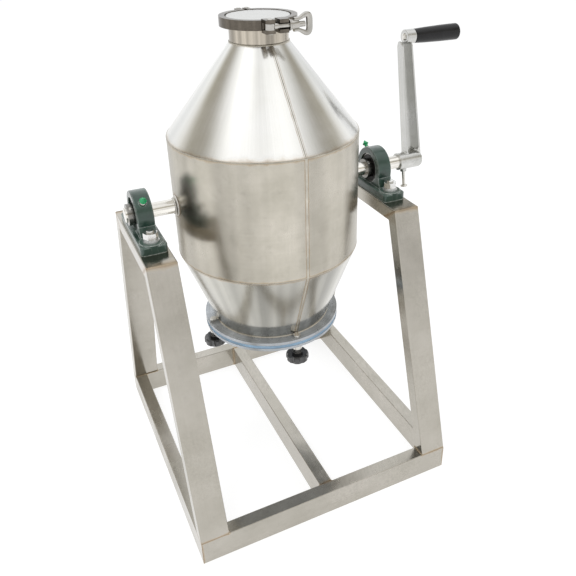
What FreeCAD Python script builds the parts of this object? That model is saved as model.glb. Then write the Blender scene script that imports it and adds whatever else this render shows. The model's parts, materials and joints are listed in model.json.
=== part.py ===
import FreeCAD, Part
import math
import os
import Sketcher
from FreeCAD import Placement, Rotation, Vector

# Manual powder mixer: a double-cone drum on a horizontal shaft, turned by a hand crank.
# Origin: on the floor below the middle of the drum. X runs along the shaft towards the crank,
# Y runs away from the front of the base, Z is up. All lengths are in millimetres.
# Pieces of the drum and the crank are drawn about the shaft's centre and lifted to it.

DRIVING_SIZES = [
    ("frame_width", 396, "base and trestles, outside to outside along the shaft"),
    ("frame_depth", 410, "base, outside to outside across the shaft"),
    ("beam_length", 184, "top of each trestle, outer corner to outer corner"),
    ("beam_height", 410, "top of the trestles above the floor"),
    ("tube_width", 40, "wide side of the rectangular tube"),
    ("tube_thick", 20, "narrow side of the rectangular tube"),
    ("tube_wall", 1.5, "wall of the rectangular tube"),
    ("tube_corner", 1.2, "outer corner radius of the rectangular tube"),
    ("shaft_radius", 10, "stub shafts"),
    ("bearing_rise", 33.3, "shaft centre above the trestle"),
    ("housing_length", 122, "foot of a bearing housing, across the shaft"),
    ("housing_width", 35, "foot of a bearing housing, along the shaft"),
    ("housing_foot", 11, "height of the foot"),
    ("housing_pad", 1.5, "raised seat round each bolt"),
    ("housing_edge", 1.4, "round on the upper edge of the foot"),
    ("housing_arch", 31, "radius of the arch round the bearing"),
    ("housing_thick", 22, "arch, along the shaft"),
    ("housing_shoulder", 38, "half width of the arch where it meets the foot"),
    ("bolt_spacing", 92, "between the two bolts of a housing"),
    ("nipple_radius", 2.5, "thread of a grease nipple"),
    ("nipple_height", 9, "grease nipple above its seat"),
    ("nipple_cap_height", 14, "cap of a grease nipple above its seat"),
    ("bolt_radius", 5, "housing bolts"),
    ("bolt_clearance", 0.5, "hole round a bolt, on the radius"),
    ("washer_thick", 2, "flat washers"),
    ("lock_washer_thick", 2.5, "split washers"),
    ("outer_ring_radius", 23.5, "ball of the bearing's outer ring"),
    ("outer_ring_width", 17, "outer ring, along the shaft"),
    ("ball_radius", 3.97, "bearing balls"),
    ("ball_circle", 16.75, "centre circle of the balls"),
    ("ring_gap", 4.6, "between the inner and outer rings, beside the balls"),
    ("race_clearance", 0.02, "between a ball and its grooves"),
    ("seal_thick", 1, "bearing seals"),
    ("seal_clearance", 0.2, "between a seal and the inner ring"),
    ("inner_ring_long", 18.3, "inner ring from its middle to the end with the screws"),
    ("inner_ring_short", 12.7, "inner ring from its middle to the plain end"),
    ("drum_radius", 130, "outside of the drum"),
    ("sheet", 1.5, "sheet of the drum"),
    ("cylinder_above", 86, "top seam above the shaft"),
    ("cylinder_below", 81, "bottom seam below the shaft"),
    ("neck_radius", 38, "outside of the neck"),
    ("neck_above", 203.7, "neck's weld above the shaft"),
    ("outlet_radius", 86.5, "lower cone where it meets the flange"),
    ("outlet_below", 197.3, "flange top below the shaft"),
    ("flange_radius", 101.5, "bottom flange and lid"),
    ("flange_thick", 4.5, "bottom flange"),
    ("lid_gasket_thick", 5, "gasket between the flange and the lid"),
    ("lid_thick", 4, "bottom lid"),
    ("stud_circle", 94, "studs of the lid, from the drum's axis"),
    ("stud_radius", 3, "studs of the lid"),
    ("sleeve_length", 11.3, "sleeve between the lid and a knob"),
    ("sleeve_radius", 7, "sleeve between the lid and a knob"),
    ("knob_radius", 16.5, "star knobs, over the lobes"),
    ("knob_height", 14, "star knobs"),
    ("knob_lobes", 7, "lobes on a knob"),
    ("turning_gap", 0.2, "between faces that turn on each other"),
    ("running_fit", 0.05, "turning bores, on the radius"),
    ("clamp_above", 229, "middle of the clamp above the shaft"),
    ("clamp_radius", 49.5, "outside of the clamp"),
    ("clamp_height", 12, "clamp, along the drum's axis"),
    ("lip_radius", 45.5, "lips held by the clamp"),
    ("lip_reach", 4, "tapered width of the lips"),
    ("lip_edge", 2, "thickness of a lip at its rim"),
    ("lip_slope", 0.27, "taper of the lips"),
    ("cap_gasket_thick", 1.5, "gasket under the cap"),
    ("cap_thick", 4.7, "middle of the cap"),
    ("clamp_split", 5.2, "gap between the two halves"),
    ("ear_width", 12.4, "ears of the clamp, along the bolt"),
    ("ear_height", 16, "ears of the clamp, up"),
    ("ear_slot", 7.5, "slot in the ears"),
    ("clamp_bolt_radius", 3.4, "swing bolt of the clamp"),
    ("clamp_bolt_eye", 6, "eye of the swing bolt"),
    ("clamp_bolt_reach", 45, "swing bolt from its pin to its tip"),
    ("clamp_bolt_offset", 9, "swing bolt outside the clamp"),
    ("clamp_pin_offset", 8.5, "pin of the swing bolt from the split"),
    ("clamp_pin_radius", 2.5, "pin of the swing bolt"),
    ("link_pin_offset", 5.5, "pins at the back of the clamp from the split"),
    ("link_pin_radius", 2, "pins at the back of the clamp"),
    ("link_thick", 5.6, "link at the back of the clamp"),
    ("wing_barrel_radius", 5.75, "barrel of the wing nut"),
    ("wing_barrel_length", 12.5, "barrel of the wing nut"),
    ("wing_reach", 31.4, "wing nut, from its seat to the end of the loop"),
    ("wing_half_height", 14.8, "half height of the loop"),
    ("wing_bar", 4.2, "bar of the loop"),
    ("wing_thick", 6, "loop, across its plane"),
    ("shaft_tail", 3, "left shaft beyond its bearing"),
    ("shaft_inside", 12, "shafts inside the drum"),
    ("weld_radius", 13, "weld collar at the drum's wall"),
    ("weld_length", 4, "weld collar, along the shaft"),
    ("pad_radius", 34, "stiffening pads inside the drum"),
    ("pad_thick", 3, "stiffening pads inside the drum"),
    ("crank_angle", -10, "crank about the shaft, from upright, in degrees"),
    ("crank_length", 182.5, "shaft centre to grip centre"),
    ("hub_start", 219, "hub's open end from the drum's axis"),
    ("hub_radius", 13, "outside of the hub"),
    ("arm_start", 232.5, "side of the arm towards the drum, from the drum's axis"),
    ("arm_width_low", 24.9, "arm at the hub, along the shaft"),
    ("arm_width_high", 17.4, "arm at the grip, along the shaft"),
    ("arm_wall", 2.7, "walls of the arm's channel"),
    ("arm_half_low", 7.5, "half depth of the channel at the hub"),
    ("arm_half_high", 6.8, "half depth of the channel at the grip"),
    ("boss_radius", 10.5, "boss that holds the spindle"),
    ("boss_start", 8.5, "boss from the side of the arm towards the drum"),
    ("boss_proud", 6.9, "boss beyond the outer side of the arm"),
    ("spindle_radius", 4, "spindle of the grip"),
    ("spindle_reach", 62, "spindle inside the grip"),
    ("grip_length", 77, "grip"),
    ("grip_radius_low", 10.2, "grip beside the arm"),
    ("grip_radius_high", 12, "grip near its end"),
    ("grip_round", 2.4, "rounded rim of the grip's end"),
    ("screw_radius", 2.5, "clamping screw of the crank"),
    ("screw_offset", 10.5, "clamping screw from the hub's open end"),
    ("screw_reach", 41, "head of the clamping screw from the shaft's centre"),
    ("screw_head_radius", 5.5, "head of the clamping screw"),
    ("screw_head_height", 3, "head of the clamping screw"),
    ("shoulder_length", 4, "shoulder at the end of the spindle"),
    ("rivet_head", 2.4, "riveted end of the spindle"),
    ("seat_rim", 2, "edge left round the bolt seats of the foot"),
    ("bore_relief", 1, "bores and steps of the bearing unit, on the radius"),
    ("ring_screw_sink", 0.2, "lock screws beyond the face of the inner ring"),
    ("clamp_play", 0.5, "clamp round the lips, on the radius"),
    ("root_overlap", 2, "ears of the clamp, into the band"),
    ("collar_step", 1, "collar and grooves of small turned parts"),
    ("small_bevel", 0.6, "bevels of screws and clearance beside the swing bolt"),
    ("broad_bevel", 1.2, "bevels of sleeves, weld collars and ears"),
]

BALL_COUNT = 8
HEX_ACROSS = 1.155

# Shares of a bolt's radius in the standard sizes of its head, nut and washers.
HEAD_WIDTH = 1.7
HEAD_HEIGHT = 1.28
NUT_HEIGHT = 1.6
THREAD_PROUD = 0.6
WASHER_WIDTH = 2.1
LOCK_WASHER_WIDTH = 1.75
STUD_HEAD_WIDTH = 1.62
STUD_HEAD_HEIGHT = 1.3
document = FreeCAD.newDocument("PowderMixer")
sheet = document.addObject("Spreadsheet::Sheet", "Sizes")


class Size:
    """A length with its present number and the text that binds a property to the sheet."""

    def __init__(self, number, text):
        self.number = number
        self.text = text

    def joined(self, sign, other, number):
        return Size(number, "(%s %s %s)" % (self.text, sign, other.text))

    def __add__(self, other):
        other = as_size(other)
        return self.joined("+", other, self.number + other.number)

    def __sub__(self, other):
        other = as_size(other)
        return self.joined("-", other, self.number - other.number)

    def __mul__(self, other):
        other = as_size(other)
        return self.joined("*", other, self.number * other.number)

    def __truediv__(self, other):
        other = as_size(other)
        return self.joined("/", other, self.number / other.number)

    def __radd__(self, other):
        return as_size(other) + self

    def __rsub__(self, other):
        return as_size(other) - self

    def __rmul__(self, other):
        return as_size(other) * self

    def __neg__(self):
        return as_size(-1) * self


def as_size(value):
    if isinstance(value, Size):
        return value
    return Size(float(value), "(%.9g)" % value)


def square_root(size):
    return Size(math.sqrt(size.number), "sqrt(%s)" % size.text)


class Sheet:
    """Reads a driving size by its name."""

    def __getattr__(self, name):
        return Size(float(sheet.get(name)), "Sizes." + name)


def fill_sheet():
    for row, (alias, number, note) in enumerate(DRIVING_SIZES, start=1):
        sheet.set("A%d" % row, str(number))
        sheet.setAlias("A%d" % row, alias)
        sheet.set("B%d" % row, note)
    document.recompute()


fill_sheet()
S = Sheet()
NODES = []

# Sizes that follow from the driving ones.
BEAM_X = S.frame_width / 2 - S.tube_width / 2
SHAFT_HEIGHT = S.beam_height + S.bearing_rise
LEG_RUN = (S.frame_depth - S.beam_length) / 2
LEG_RISE = S.beam_height - S.tube_width
LEG_SLANT = square_root(LEG_RUN * LEG_RUN + LEG_RISE * LEG_RISE)
INNER_RING_RADIUS = S.ball_circle - S.ring_gap / 2
OUTER_RING_BORE = S.ball_circle + S.ring_gap / 2
SEAL_RADIUS = OUTER_RING_BORE + S.bore_relief
SEAL_START = S.outer_ring_width / 2 - 1.5 * S.seal_thick
NIPPLE_SEAT = S.housing_arch - S.nipple_radius * 0.2
LID_TOP = S.outlet_below + S.flange_thick + S.lid_gasket_thick
LID_BOTTOM = LID_TOP + S.lid_thick
KNOB_TOP = LID_BOTTOM + S.sleeve_length + S.turning_gap
BOLT_LINE = S.clamp_radius + S.clamp_bolt_offset
LINK_LINE = S.clamp_radius + S.link_thick
WING_SEAT = S.clamp_split / 2 + S.ear_width + 3 * S.turning_gap
SCREW_X = 1.6 * S.screw_radius - S.inner_ring_long
SCREW_TURNS = (35, -85)
ARM_END_LOW = S.arm_start + S.arm_width_low
ARM_END_HIGH = S.arm_start + S.arm_width_high
HUB_END = ARM_END_LOW - S.arm_wall
GRIP_START = ARM_END_HIGH + S.boss_proud + 2 * S.turning_gap
SHOULDER_WIDTH = 1.4
SQUARE_TURN = 90


def bind(item, path, size):
    item.setExpression(path, as_size(size).text)


def place(item, x=0, y=0, z=0, axis=None, angle=0):
    """Put an item in the part's frame, with every offset bound to the sheet."""
    spin = Rotation(Vector(*axis), as_size(angle).number) if axis else Rotation()
    item.Placement = Placement(Vector(0, 0, 0), spin)
    if isinstance(angle, Size):
        bind(item, "Placement.Rotation.Angle", angle)
    for letter, offset in zip("xyz", (x, y, z)):
        if isinstance(offset, Size):
            bind(item, "Placement.Base." + letter, offset)


def keep(item, label):
    """Name an item as one of the part's own pieces."""
    item.Label = label
    NODES.append(item)
    return item


def new_body(name):
    body = document.addObject("PartDesign::Body", name)
    body.Label = name
    return body


def origin_feature(body, role):
    for feature in body.Origin.OriginFeatures:
        if feature.Role == role:
            return feature
    raise ValueError(role)


def new_sketch(body, role, offset=None):
    sketch = body.newObject("Sketcher::SketchObject", body.Name + "_sketch")
    sketch.AttachmentSupport = (origin_feature(body, role), [""])
    sketch.MapMode = "FlatFace"
    if offset is not None:
        bind(sketch, "AttachmentOffset.Base.z", offset)
    return sketch


def constrain(sketch, name, size, *arguments):
    index = sketch.addConstraint(Sketcher.Constraint(*arguments, as_size(size).number))
    sketch.renameConstraint(index, name)
    bind(sketch, "Constraints." + name, size)


def pin_point(sketch, curve, position, across, up):
    stem = "curve_%d_point_%d" % (curve, position)
    constrain(sketch, stem + "_across", across, "DistanceX", -1, 1, curve, position)
    constrain(sketch, stem + "_up", up, "DistanceY", -1, 1, curve, position)


def draw_outline(sketch, corners):
    """Draw a closed outline of straight runs through corners given as sizes."""
    corners = [(as_size(across), as_size(up)) for across, up in corners]
    first = sketch.GeometryCount
    count = len(corners)
    for index, (across, up) in enumerate(corners):
        next_across, next_up = corners[(index + 1) % count]
        start = Vector(across.number, up.number, 0)
        end = Vector(next_across.number, next_up.number, 0)
        sketch.addGeometry(Part.LineSegment(start, end))
    for index in range(count):
        following = first + (index + 1) % count
        sketch.addConstraint(Sketcher.Constraint("Coincident", first + index, 2, following, 1))
    for index, (across, up) in enumerate(corners):
        pin_point(sketch, first + index, 1, across, up)


def draw_rectangle(sketch, left, right, low, high):
    draw_outline(sketch, [(left, low), (right, low), (right, high), (left, high)])


def draw_circle(sketch, across, up, radius):
    centre = Vector(as_size(across).number, as_size(up).number, 0)
    normal = Vector(0, 0, 1)
    curve = sketch.addGeometry(Part.Circle(centre, normal, as_size(radius).number))
    pin_point(sketch, curve, 3, across, up)
    constrain(sketch, "curve_%d_radius" % curve, radius, "Radius", curve)


def draw_hexagon(sketch, radius):
    corners = []
    for step in range(6):
        angle = math.radians(60 * step)
        corners.append((radius * math.cos(angle), radius * math.sin(angle)))
    draw_outline(sketch, corners)


def pad(body, sketch, length, both_ways=False, backwards=False):
    feature = body.newObject("PartDesign::Pad", body.Name + "_pad")
    feature.Profile = sketch
    bind(feature, "Length", length)
    feature.Reversed = backwards
    if both_ways:
        feature.SideType = "Symmetric"
    return feature


def pocket(body, sketch, length=None, both_ways=True, backwards=False):
    """Cut a sketch out of a body, right through it when no length is given."""
    document.recompute()
    volume = body.Shape.Volume
    feature = body.newObject("PartDesign::Pocket", body.Name + "_pocket")
    feature.Profile = sketch
    if both_ways:
        feature.SideType = "Symmetric"
    if length is None:
        feature.Type = "ThroughAll"
    else:
        bind(feature, "Length", length)
    feature.Reversed = backwards
    document.recompute()
    if body.Shape.Volume > volume * 0.99999:
        raise ValueError("a pocket of %s cuts nothing" % body.Name)
    return feature


def revolve(body, sketch, axis_role, angle=360):
    feature = body.newObject("PartDesign::Revolution", body.Name + "_revolution")
    feature.Profile = sketch
    feature.ReferenceAxis = (origin_feature(body, axis_role), [""])
    feature.Angle = angle
    if angle < 360:
        feature.Midplane = True
    return feature


def edges_along(shape, direction, within=None):
    """Names of the straight edges that run along a direction."""
    direction = Vector(*direction).normalize()
    names = []
    for number, edge in enumerate(shape.Edges, start=1):
        if not isinstance(edge.Curve, Part.Line):
            continue
        along = edge.tangentAt(edge.FirstParameter)
        if abs(abs(along.dot(direction)) - 1) > 1e-6:
            continue
        if within is None or within(edge.CenterOfMass):
            names.append("Edge%d" % number)
    return names


def round_edges(body, names, radius):
    document.recompute()
    solid = body.Tip
    feature = body.newObject("PartDesign::Fillet", body.Name + "_fillet")
    feature.Base = (solid, names)
    bind(feature, "Radius", radius)
    document.recompute()
    return feature


def circle_edges(shape, at, radius):
    """Names of the round edges with one radius whose centre passes a test."""
    names = []
    for number, edge in enumerate(shape.Edges, start=1):
        if isinstance(edge.Curve, Part.Circle) and abs(edge.Curve.Radius - radius) < 1e-3:
            if at(edge.Curve.Center):
                names.append("Edge%d" % number)
    return names


def turned(name, corners, axis_role="Z_Axis", angle=360):
    """A turned piece: a closed outline swept round an axis."""
    body = new_body(name)
    sketch = new_sketch(body, "XZ_Plane")
    draw_outline(sketch, corners)
    revolve(body, sketch, axis_role, angle)
    return body


def ring_corners(inner, outer, low, high):
    return [(inner, low), (outer, low), (outer, high), (inner, high)]


def copies(label, master, places):
    """A group of like solids: each a copy of one master piece, moved to its place."""
    links = []
    for number, (x, y, z, axis, angle) in enumerate(places, start=1):
        link = document.addObject("App::Link", "%s_%d" % (label, number))
        link.LinkedObject = master
        place(link, x, y, z, axis, angle)
        links.append(link)
    group = document.addObject("Part::Compound", label)
    group.Links = links
    return keep(group, label)


def copy_of(label, master, x=0, y=0, z=0, axis=None, angle=0):
    """One more piece like a master, as a node of its own."""
    return copies(label, master, [(x, y, z, axis, angle)])


def cylinder(name, radius, length, axis="z", start=0):
    """A plain cylinder that runs from a start along an axis."""
    item = document.addObject("Part::Cylinder", name)
    bind(item, "Radius", radius)
    bind(item, "Height", length)
    turn = {"z": (None, 0), "x": ((0, 1, 0), SQUARE_TURN)}[axis]
    offsets = {axis: as_size(start)}
    place(item, axis=turn[0], angle=turn[1], **offsets)
    return item


def cut(name, base, tool):
    item = document.addObject("Part::Cut", name)
    item.Base = base
    item.Tool = tool
    return item


# Base and trestles, welded from rectangular tube.

def mitred_rail(label, length, x, y, angle):
    """A base rail with mitred ends. Its outer face lies on its own X axis."""
    body = new_body(label)
    plan = new_sketch(body, "XY_Plane")
    half = length / 2
    short = half - S.tube_thick
    draw_outline(plan, [(-half, 0), (half, 0), (short, S.tube_thick), (-short, S.tube_thick)])
    pad(body, plan, S.tube_width)
    document.recompute()
    round_edges(body, edges_along(body.Shape, (1, 0, 0)), S.tube_corner)
    section = new_sketch(body, "YZ_Plane")
    draw_rectangle(section, S.tube_wall, S.tube_thick - S.tube_wall,
                   S.tube_wall, S.tube_width - S.tube_wall)
    pocket(body, section)
    place(body, x, y, 0, (0, 0, 1), angle)
    keep(body, label)


def base_rails():
    mitred_rail("front_rail", S.frame_width, 0, -S.frame_depth / 2, 0)
    mitred_rail("back_rail", S.frame_width, 0, S.frame_depth / 2, 180)
    mitred_rail("left_rail", S.frame_depth, -S.frame_width / 2, 0, -SQUARE_TURN)
    mitred_rail("right_rail", S.frame_depth, S.frame_width / 2, 0, SQUARE_TURN)


def middle_rail():
    body = new_body("middle_rail")
    plan = new_sketch(body, "XY_Plane")
    half_width = S.tube_thick / 2
    half_length = S.frame_depth / 2 - S.tube_thick
    draw_rectangle(plan, -half_width, half_width, -half_length, half_length)
    pad(body, plan, S.tube_width)
    document.recompute()
    round_edges(body, edges_along(body.Shape, (0, 1, 0)), S.tube_corner)
    section = new_sketch(body, "XZ_Plane")
    hollow = half_width - S.tube_wall
    draw_rectangle(section, -hollow, hollow, S.tube_wall, S.tube_width - S.tube_wall)
    pocket(body, section)
    keep(body, "middle_rail")


def leg_point(inset, height):
    """A point of the leg's side view, inset from its outer face, at a height."""
    run = (height - S.tube_width) * LEG_RUN / LEG_RISE
    return (run - S.frame_depth / 2 + inset * LEG_SLANT / LEG_RISE, height)


def mitre_inner_corner():
    """The inner corner of the joint between a leg and a beam, at the front."""
    inset = S.tube_thick * (LEG_SLANT - LEG_RUN) / LEG_RISE
    return (inset - S.beam_length / 2, S.beam_height - S.tube_thick)


def leg(label, x, angle):
    """A slanted leg of tube that stands on a rail and meets the beam in a mitre."""
    body = new_body(label)
    side = new_sketch(body, "YZ_Plane")
    draw_outline(side, [leg_point(as_size(0), S.tube_width), leg_point(as_size(0), S.beam_height),
                        mitre_inner_corner(), leg_point(S.tube_thick, S.tube_width)])
    pad(body, side, S.tube_width, both_ways=True)
    document.recompute()
    slant = (0, LEG_RUN.number, LEG_RISE.number)
    round_edges(body, edges_along(body.Shape, slant), S.tube_corner)
    hollow = new_sketch(body, "YZ_Plane")
    low = S.tube_width - S.tube_thick
    high = S.beam_height + S.tube_thick
    far_wall = S.tube_thick - S.tube_wall
    draw_outline(hollow, [leg_point(S.tube_wall, low), leg_point(S.tube_wall, high),
                          leg_point(far_wall, high), leg_point(far_wall, low)])
    pocket(body, hollow, S.tube_width - 2 * S.tube_wall)
    place(body, x, 0, 0, (0, 0, 1), angle)
    keep(body, label)


def beam(label, x):
    """The level top of a trestle, drilled for the bearing's bolts."""
    body = new_body(label)
    side = new_sketch(body, "YZ_Plane")
    inner_y, inner_z = mitre_inner_corner()
    half = S.beam_length / 2
    draw_outline(side, [(-half, S.beam_height), (half, S.beam_height),
                        (-inner_y, inner_z), (inner_y, inner_z)])
    pad(body, side, S.tube_width, both_ways=True)
    document.recompute()
    round_edges(body, edges_along(body.Shape, (0, 1, 0)), S.tube_corner)
    hollow = new_sketch(body, "YZ_Plane")
    draw_rectangle(hollow, -half, half, inner_z + S.tube_wall, S.beam_height - S.tube_wall)
    pocket(body, hollow, S.tube_width - 2 * S.tube_wall)
    holes = new_sketch(body, "XY_Plane")
    for side_of_shaft in (-1, 1):
        draw_circle(holes, 0, side_of_shaft * S.bolt_spacing / 2, S.bolt_radius + S.bolt_clearance)
    pocket(body, holes)
    place(body, x, 0, 0)
    keep(body, label)


def trestles():
    for side, x in (("left", -BEAM_X), ("right", BEAM_X)):
        leg("front_%s_leg" % side, x, 0)
        leg("back_%s_leg" % side, x, 180)
        beam("%s_beam" % side, x)


# Bearing units: cast housings with ball bearings that can tilt in a round seat.

def housing_casting(name):
    """The casting before its round seat is bored. Its origin is the shaft's centre."""
    body = new_body(name)
    foot = new_sketch(body, "XY_Plane", -S.bearing_rise)
    half_width = S.housing_width / 2
    half_length = S.housing_length / 2
    draw_rectangle(foot, -half_width, half_width, -half_length, half_length)
    pad(body, foot, S.housing_foot)
    document.recompute()
    round_edges(body, edges_along(body.Shape, (0, 0, 1)), S.housing_foot / 2)
    foot_top = (S.housing_foot - S.bearing_rise).number
    rim = ["Edge%d" % number for number, edge in enumerate(body.Shape.Edges, start=1)
           if abs(edge.BoundBox.ZMin - foot_top) < 1e-3]
    round_edges(body, rim, S.housing_edge)
    seats = new_sketch(body, "XY_Plane", -S.bearing_rise)
    for side in (-1, 1):
        draw_circle(seats, 0, side * S.bolt_spacing / 2, S.housing_width / 2 - S.seat_rim)
    pad(body, seats, S.housing_foot + S.housing_pad)
    arch = new_sketch(body, "YZ_Plane")
    draw_circle(arch, 0, 0, S.housing_arch)
    pad(body, arch, S.housing_thick, both_ways=True)
    skirt = new_sketch(body, "YZ_Plane")
    low = S.housing_foot / 2 - S.bearing_rise
    waist = -S.housing_arch / 4
    neck = S.housing_arch * 0.968
    draw_outline(skirt, [(-S.housing_shoulder, low), (S.housing_shoulder, low),
                         (neck, waist), (-neck, waist)])
    pad(body, skirt, S.housing_thick, both_ways=True)
    holes = new_sketch(body, "XY_Plane")
    for side in (-1, 1):
        draw_circle(holes, 0, side * S.bolt_spacing / 2, S.bolt_radius + S.bolt_clearance)
    pocket(body, holes)
    bore = new_sketch(body, "YZ_Plane")
    draw_circle(bore, 0, 0, S.outer_ring_radius - S.bore_relief)
    pocket(body, bore)
    document.recompute()
    rims = circle_edges(body.Shape, lambda centre: True, S.housing_arch.number)
    round_edges(body, rims, S.housing_pad)
    return body


def nipple_hole(name, radius, start):
    """A drilling at 45 degrees, towards the front, that starts away from the shaft's centre."""
    blank = cylinder(name, radius, 2 * S.housing_arch, "z", start)
    holder = document.addObject("Part::Compound", name + "_turned")
    holder.Links = [blank]
    place(holder, axis=(1, 0, 0), angle=SQUARE_TURN / 2)
    return holder


def housing(side, x, angle):
    casting = housing_casting("%s_casting" % side)
    seat = document.addObject("Part::Sphere", "%s_seat" % side)
    bind(seat, "Radius", S.outer_ring_radius)
    seated = cut("%s_seated_casting" % side, casting, seat)
    drilled = cut("%s_drilled_casting" % side, seated,
                  nipple_hole("%s_drilling" % side, S.nipple_radius, as_size(0)))
    item = cut("%s_housing" % side, drilled,
               nipple_hole("%s_spot_face" % side, S.nipple_radius * 2, NIPPLE_SEAT))
    place(item, x, 0, SHAFT_HEIGHT, (0, 0, 1), angle)
    keep(item, "%s_housing" % side)


def bearing_cylinder(name, radius, half_length):
    return cylinder(name, radius, 2 * half_length, "x", -half_length)


def ball_track(name):
    track = document.addObject("Part::Torus", name)
    bind(track, "Radius1", S.ball_circle)
    bind(track, "Radius2", S.ball_radius + S.race_clearance)
    place(track, axis=(0, 1, 0), angle=SQUARE_TURN)
    return track


def at_both_bearings(x=0, axis=None, angle=0):
    return [(-BEAM_X + x, 0, SHAFT_HEIGHT, axis, angle), (BEAM_X + x, 0, SHAFT_HEIGHT, axis, angle)]


def outer_rings():
    """Outer ring: a slice of a ball, bored, grooved for the balls and stepped for seals."""
    ball = document.addObject("Part::Sphere", "ring_ball")
    bind(ball, "Radius", S.outer_ring_radius)
    blank = document.addObject("Part::Common", "ring_blank")
    blank.Base = ball
    blank.Tool = bearing_cylinder("ring_slice", S.outer_ring_radius, S.outer_ring_width / 2)
    ring = cut("ring_bored", blank,
               bearing_cylinder("ring_bore", OUTER_RING_BORE, S.outer_ring_width))
    for name, start in (("right", SEAL_START), ("left", -(SEAL_START + S.outer_ring_width))):
        step = cylinder("seal_step_" + name, SEAL_RADIUS, S.outer_ring_width, "x", start)
        ring = cut("ring_stepped_" + name, ring, step)
    copies("outer_rings", cut("outer_ring", ring, ball_track("outer_track")), at_both_bearings())


def inner_rings():
    """Inner ring: long end to the left, with two screw holes, grooved for the balls."""
    length = S.inner_ring_long + S.inner_ring_short
    sleeve = cylinder("ring_sleeve", INNER_RING_RADIUS, length, "x", -S.inner_ring_long)
    ring = cut("ring_core_bored", sleeve, bearing_cylinder("ring_core", S.shaft_radius, length))
    for number, angle in enumerate(SCREW_TURNS):
        drill = document.addObject("Part::Cylinder", "screw_drill_%d" % number)
        bind(drill, "Radius", S.screw_radius)
        bind(drill, "Height", S.outer_ring_radius)
        place(drill, SCREW_X, 0, 0, (1, 0, 0), angle)
        ring = cut("ring_drilled_%d" % number, ring, drill)
    copies("inner_rings", cut("inner_ring", ring, ball_track("inner_track")), at_both_bearings())


def ring_screws():
    """The screws that lock the inner rings to the shafts, two in each ring."""
    proud = S.ring_screw_sink
    master = turned("ring_screw", [(0, S.shaft_radius), (S.screw_radius, S.shaft_radius),
                                   (S.screw_radius, INNER_RING_RADIUS + proud - S.small_bevel),
                                   (S.screw_radius - S.small_bevel, INNER_RING_RADIUS + proud),
                                   (0, INNER_RING_RADIUS + proud)])
    places = []
    for angle in SCREW_TURNS:
        places += at_both_bearings(SCREW_X, (1, 0, 0), angle)
    copies("ring_screws", master, places)


def bearing_seals():
    master = turned("bearing_seal", ring_corners(INNER_RING_RADIUS + S.seal_clearance, SEAL_RADIUS,
                                                 0, S.seal_thick))
    right_faces = at_both_bearings(SEAL_START, (0, 1, 0), SQUARE_TURN)
    left_faces = at_both_bearings(-SEAL_START, (0, 1, 0), -SQUARE_TURN)
    copies("bearing_seals", master, right_faces + left_faces)


def ball_places(x, z):
    places = []
    for step in range(BALL_COUNT):
        angle = 2 * math.pi * (step + 0.5) / BALL_COUNT
        places.append((x, S.ball_circle * math.cos(angle),
                       z + S.ball_circle * math.sin(angle), None, 0))
    return places


def balls_and_cages():
    """The balls, and thin rings with a round pocket for each ball."""
    ball = document.addObject("Part::Sphere", "bearing_ball")
    bind(ball, "Radius", S.ball_radius)
    half_wall = S.ring_gap / 6
    half_width = S.ball_radius * 1.35
    band = cut("cage_band",
               bearing_cylinder("cage_outside", S.ball_circle + half_wall, half_width),
               bearing_cylinder("cage_inside", S.ball_circle - half_wall, 2 * half_width))
    for number, (_, y, z, _, _) in enumerate(ball_places(0, as_size(0))):
        hollow = document.addObject("Part::Sphere", "cage_pocket_%d" % number)
        bind(hollow, "Radius", S.ball_radius + S.race_clearance)
        place(hollow, 0, y, z)
        band = cut("cage_with_pocket_%d" % number, band, hollow)
    for side, x in (("left", -BEAM_X), ("right", BEAM_X)):
        copies(side + "_balls", ball, ball_places(x, SHAFT_HEIGHT))
        copy_of(side + "_ball_cage", band, x, 0, SHAFT_HEIGHT)


def grease_nipples():
    """Nipples at 45 degrees: towards the front on the left, towards the back on the right."""
    seat = NIPPLE_SEAT
    stem = S.nipple_radius
    hexagon = stem * 1.5
    head = seat + S.nipple_height
    nipple = turned("grease_nipple", [
        (0, seat - stem * 2), (stem, seat - stem * 2), (stem, seat), (hexagon, seat),
        (hexagon, seat + S.nipple_height * 0.3), (stem * 0.75, seat + S.nipple_height * 0.45),
        (stem * 0.75, seat + S.nipple_height * 0.6), (stem, seat + S.nipple_height * 0.75),
        (stem * 0.6, head), (0, head)])
    tip = seat + S.nipple_cap_height
    cap = turned("nipple_cap", [
        (hexagon, seat + S.nipple_height * 0.1), (hexagon * 1.2, seat + S.nipple_height * 0.1),
        (hexagon * 1.25, seat + S.nipple_height * 0.5), (hexagon * 0.9, tip - hexagon),
        (hexagon * 0.4, tip), (0, tip), (0, head), (stem * 0.6, head),
        (stem, seat + S.nipple_height * 0.75), (hexagon, seat + S.nipple_height * 0.3)])
    places = [(-BEAM_X, 0, SHAFT_HEIGHT, (1, 0, 0), SQUARE_TURN / 2),
              (BEAM_X, 0, SHAFT_HEIGHT, (1, 0, 0), -SQUARE_TURN / 2)]
    copies("grease_nipples", nipple, places)
    copies("nipple_caps", cap, places)


# Fasteners of the bearing units. The master pieces start at the trestle's top.

def bolt_places():
    places = []
    for x in (-BEAM_X, BEAM_X):
        for side in (-1, 1):
            places.append((x, side * S.bolt_spacing / 2, S.beam_height, None, 0))
    return places


def hexagon_head(body, offset, radius, height):
    sketch = new_sketch(body, "XY_Plane", offset)
    draw_hexagon(sketch, radius)
    pad(body, sketch, height)


def chamfer_hexagon(body, radius, low, high):
    """Turn the corners of a hexagon off at its top."""
    sketch = new_sketch(body, "XZ_Plane")
    draw_outline(sketch, [(radius * 0.9, high + 1), (radius * 0.9, high),
                          (radius * 1.1, low), (radius * 1.1, high + 1)])
    feature = body.newObject("PartDesign::Groove", body.Name + "_groove")
    feature.Profile = sketch
    feature.ReferenceAxis = (origin_feature(body, "Z_Axis"), [""])
    feature.Angle = 360
    document.recompute()


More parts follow.
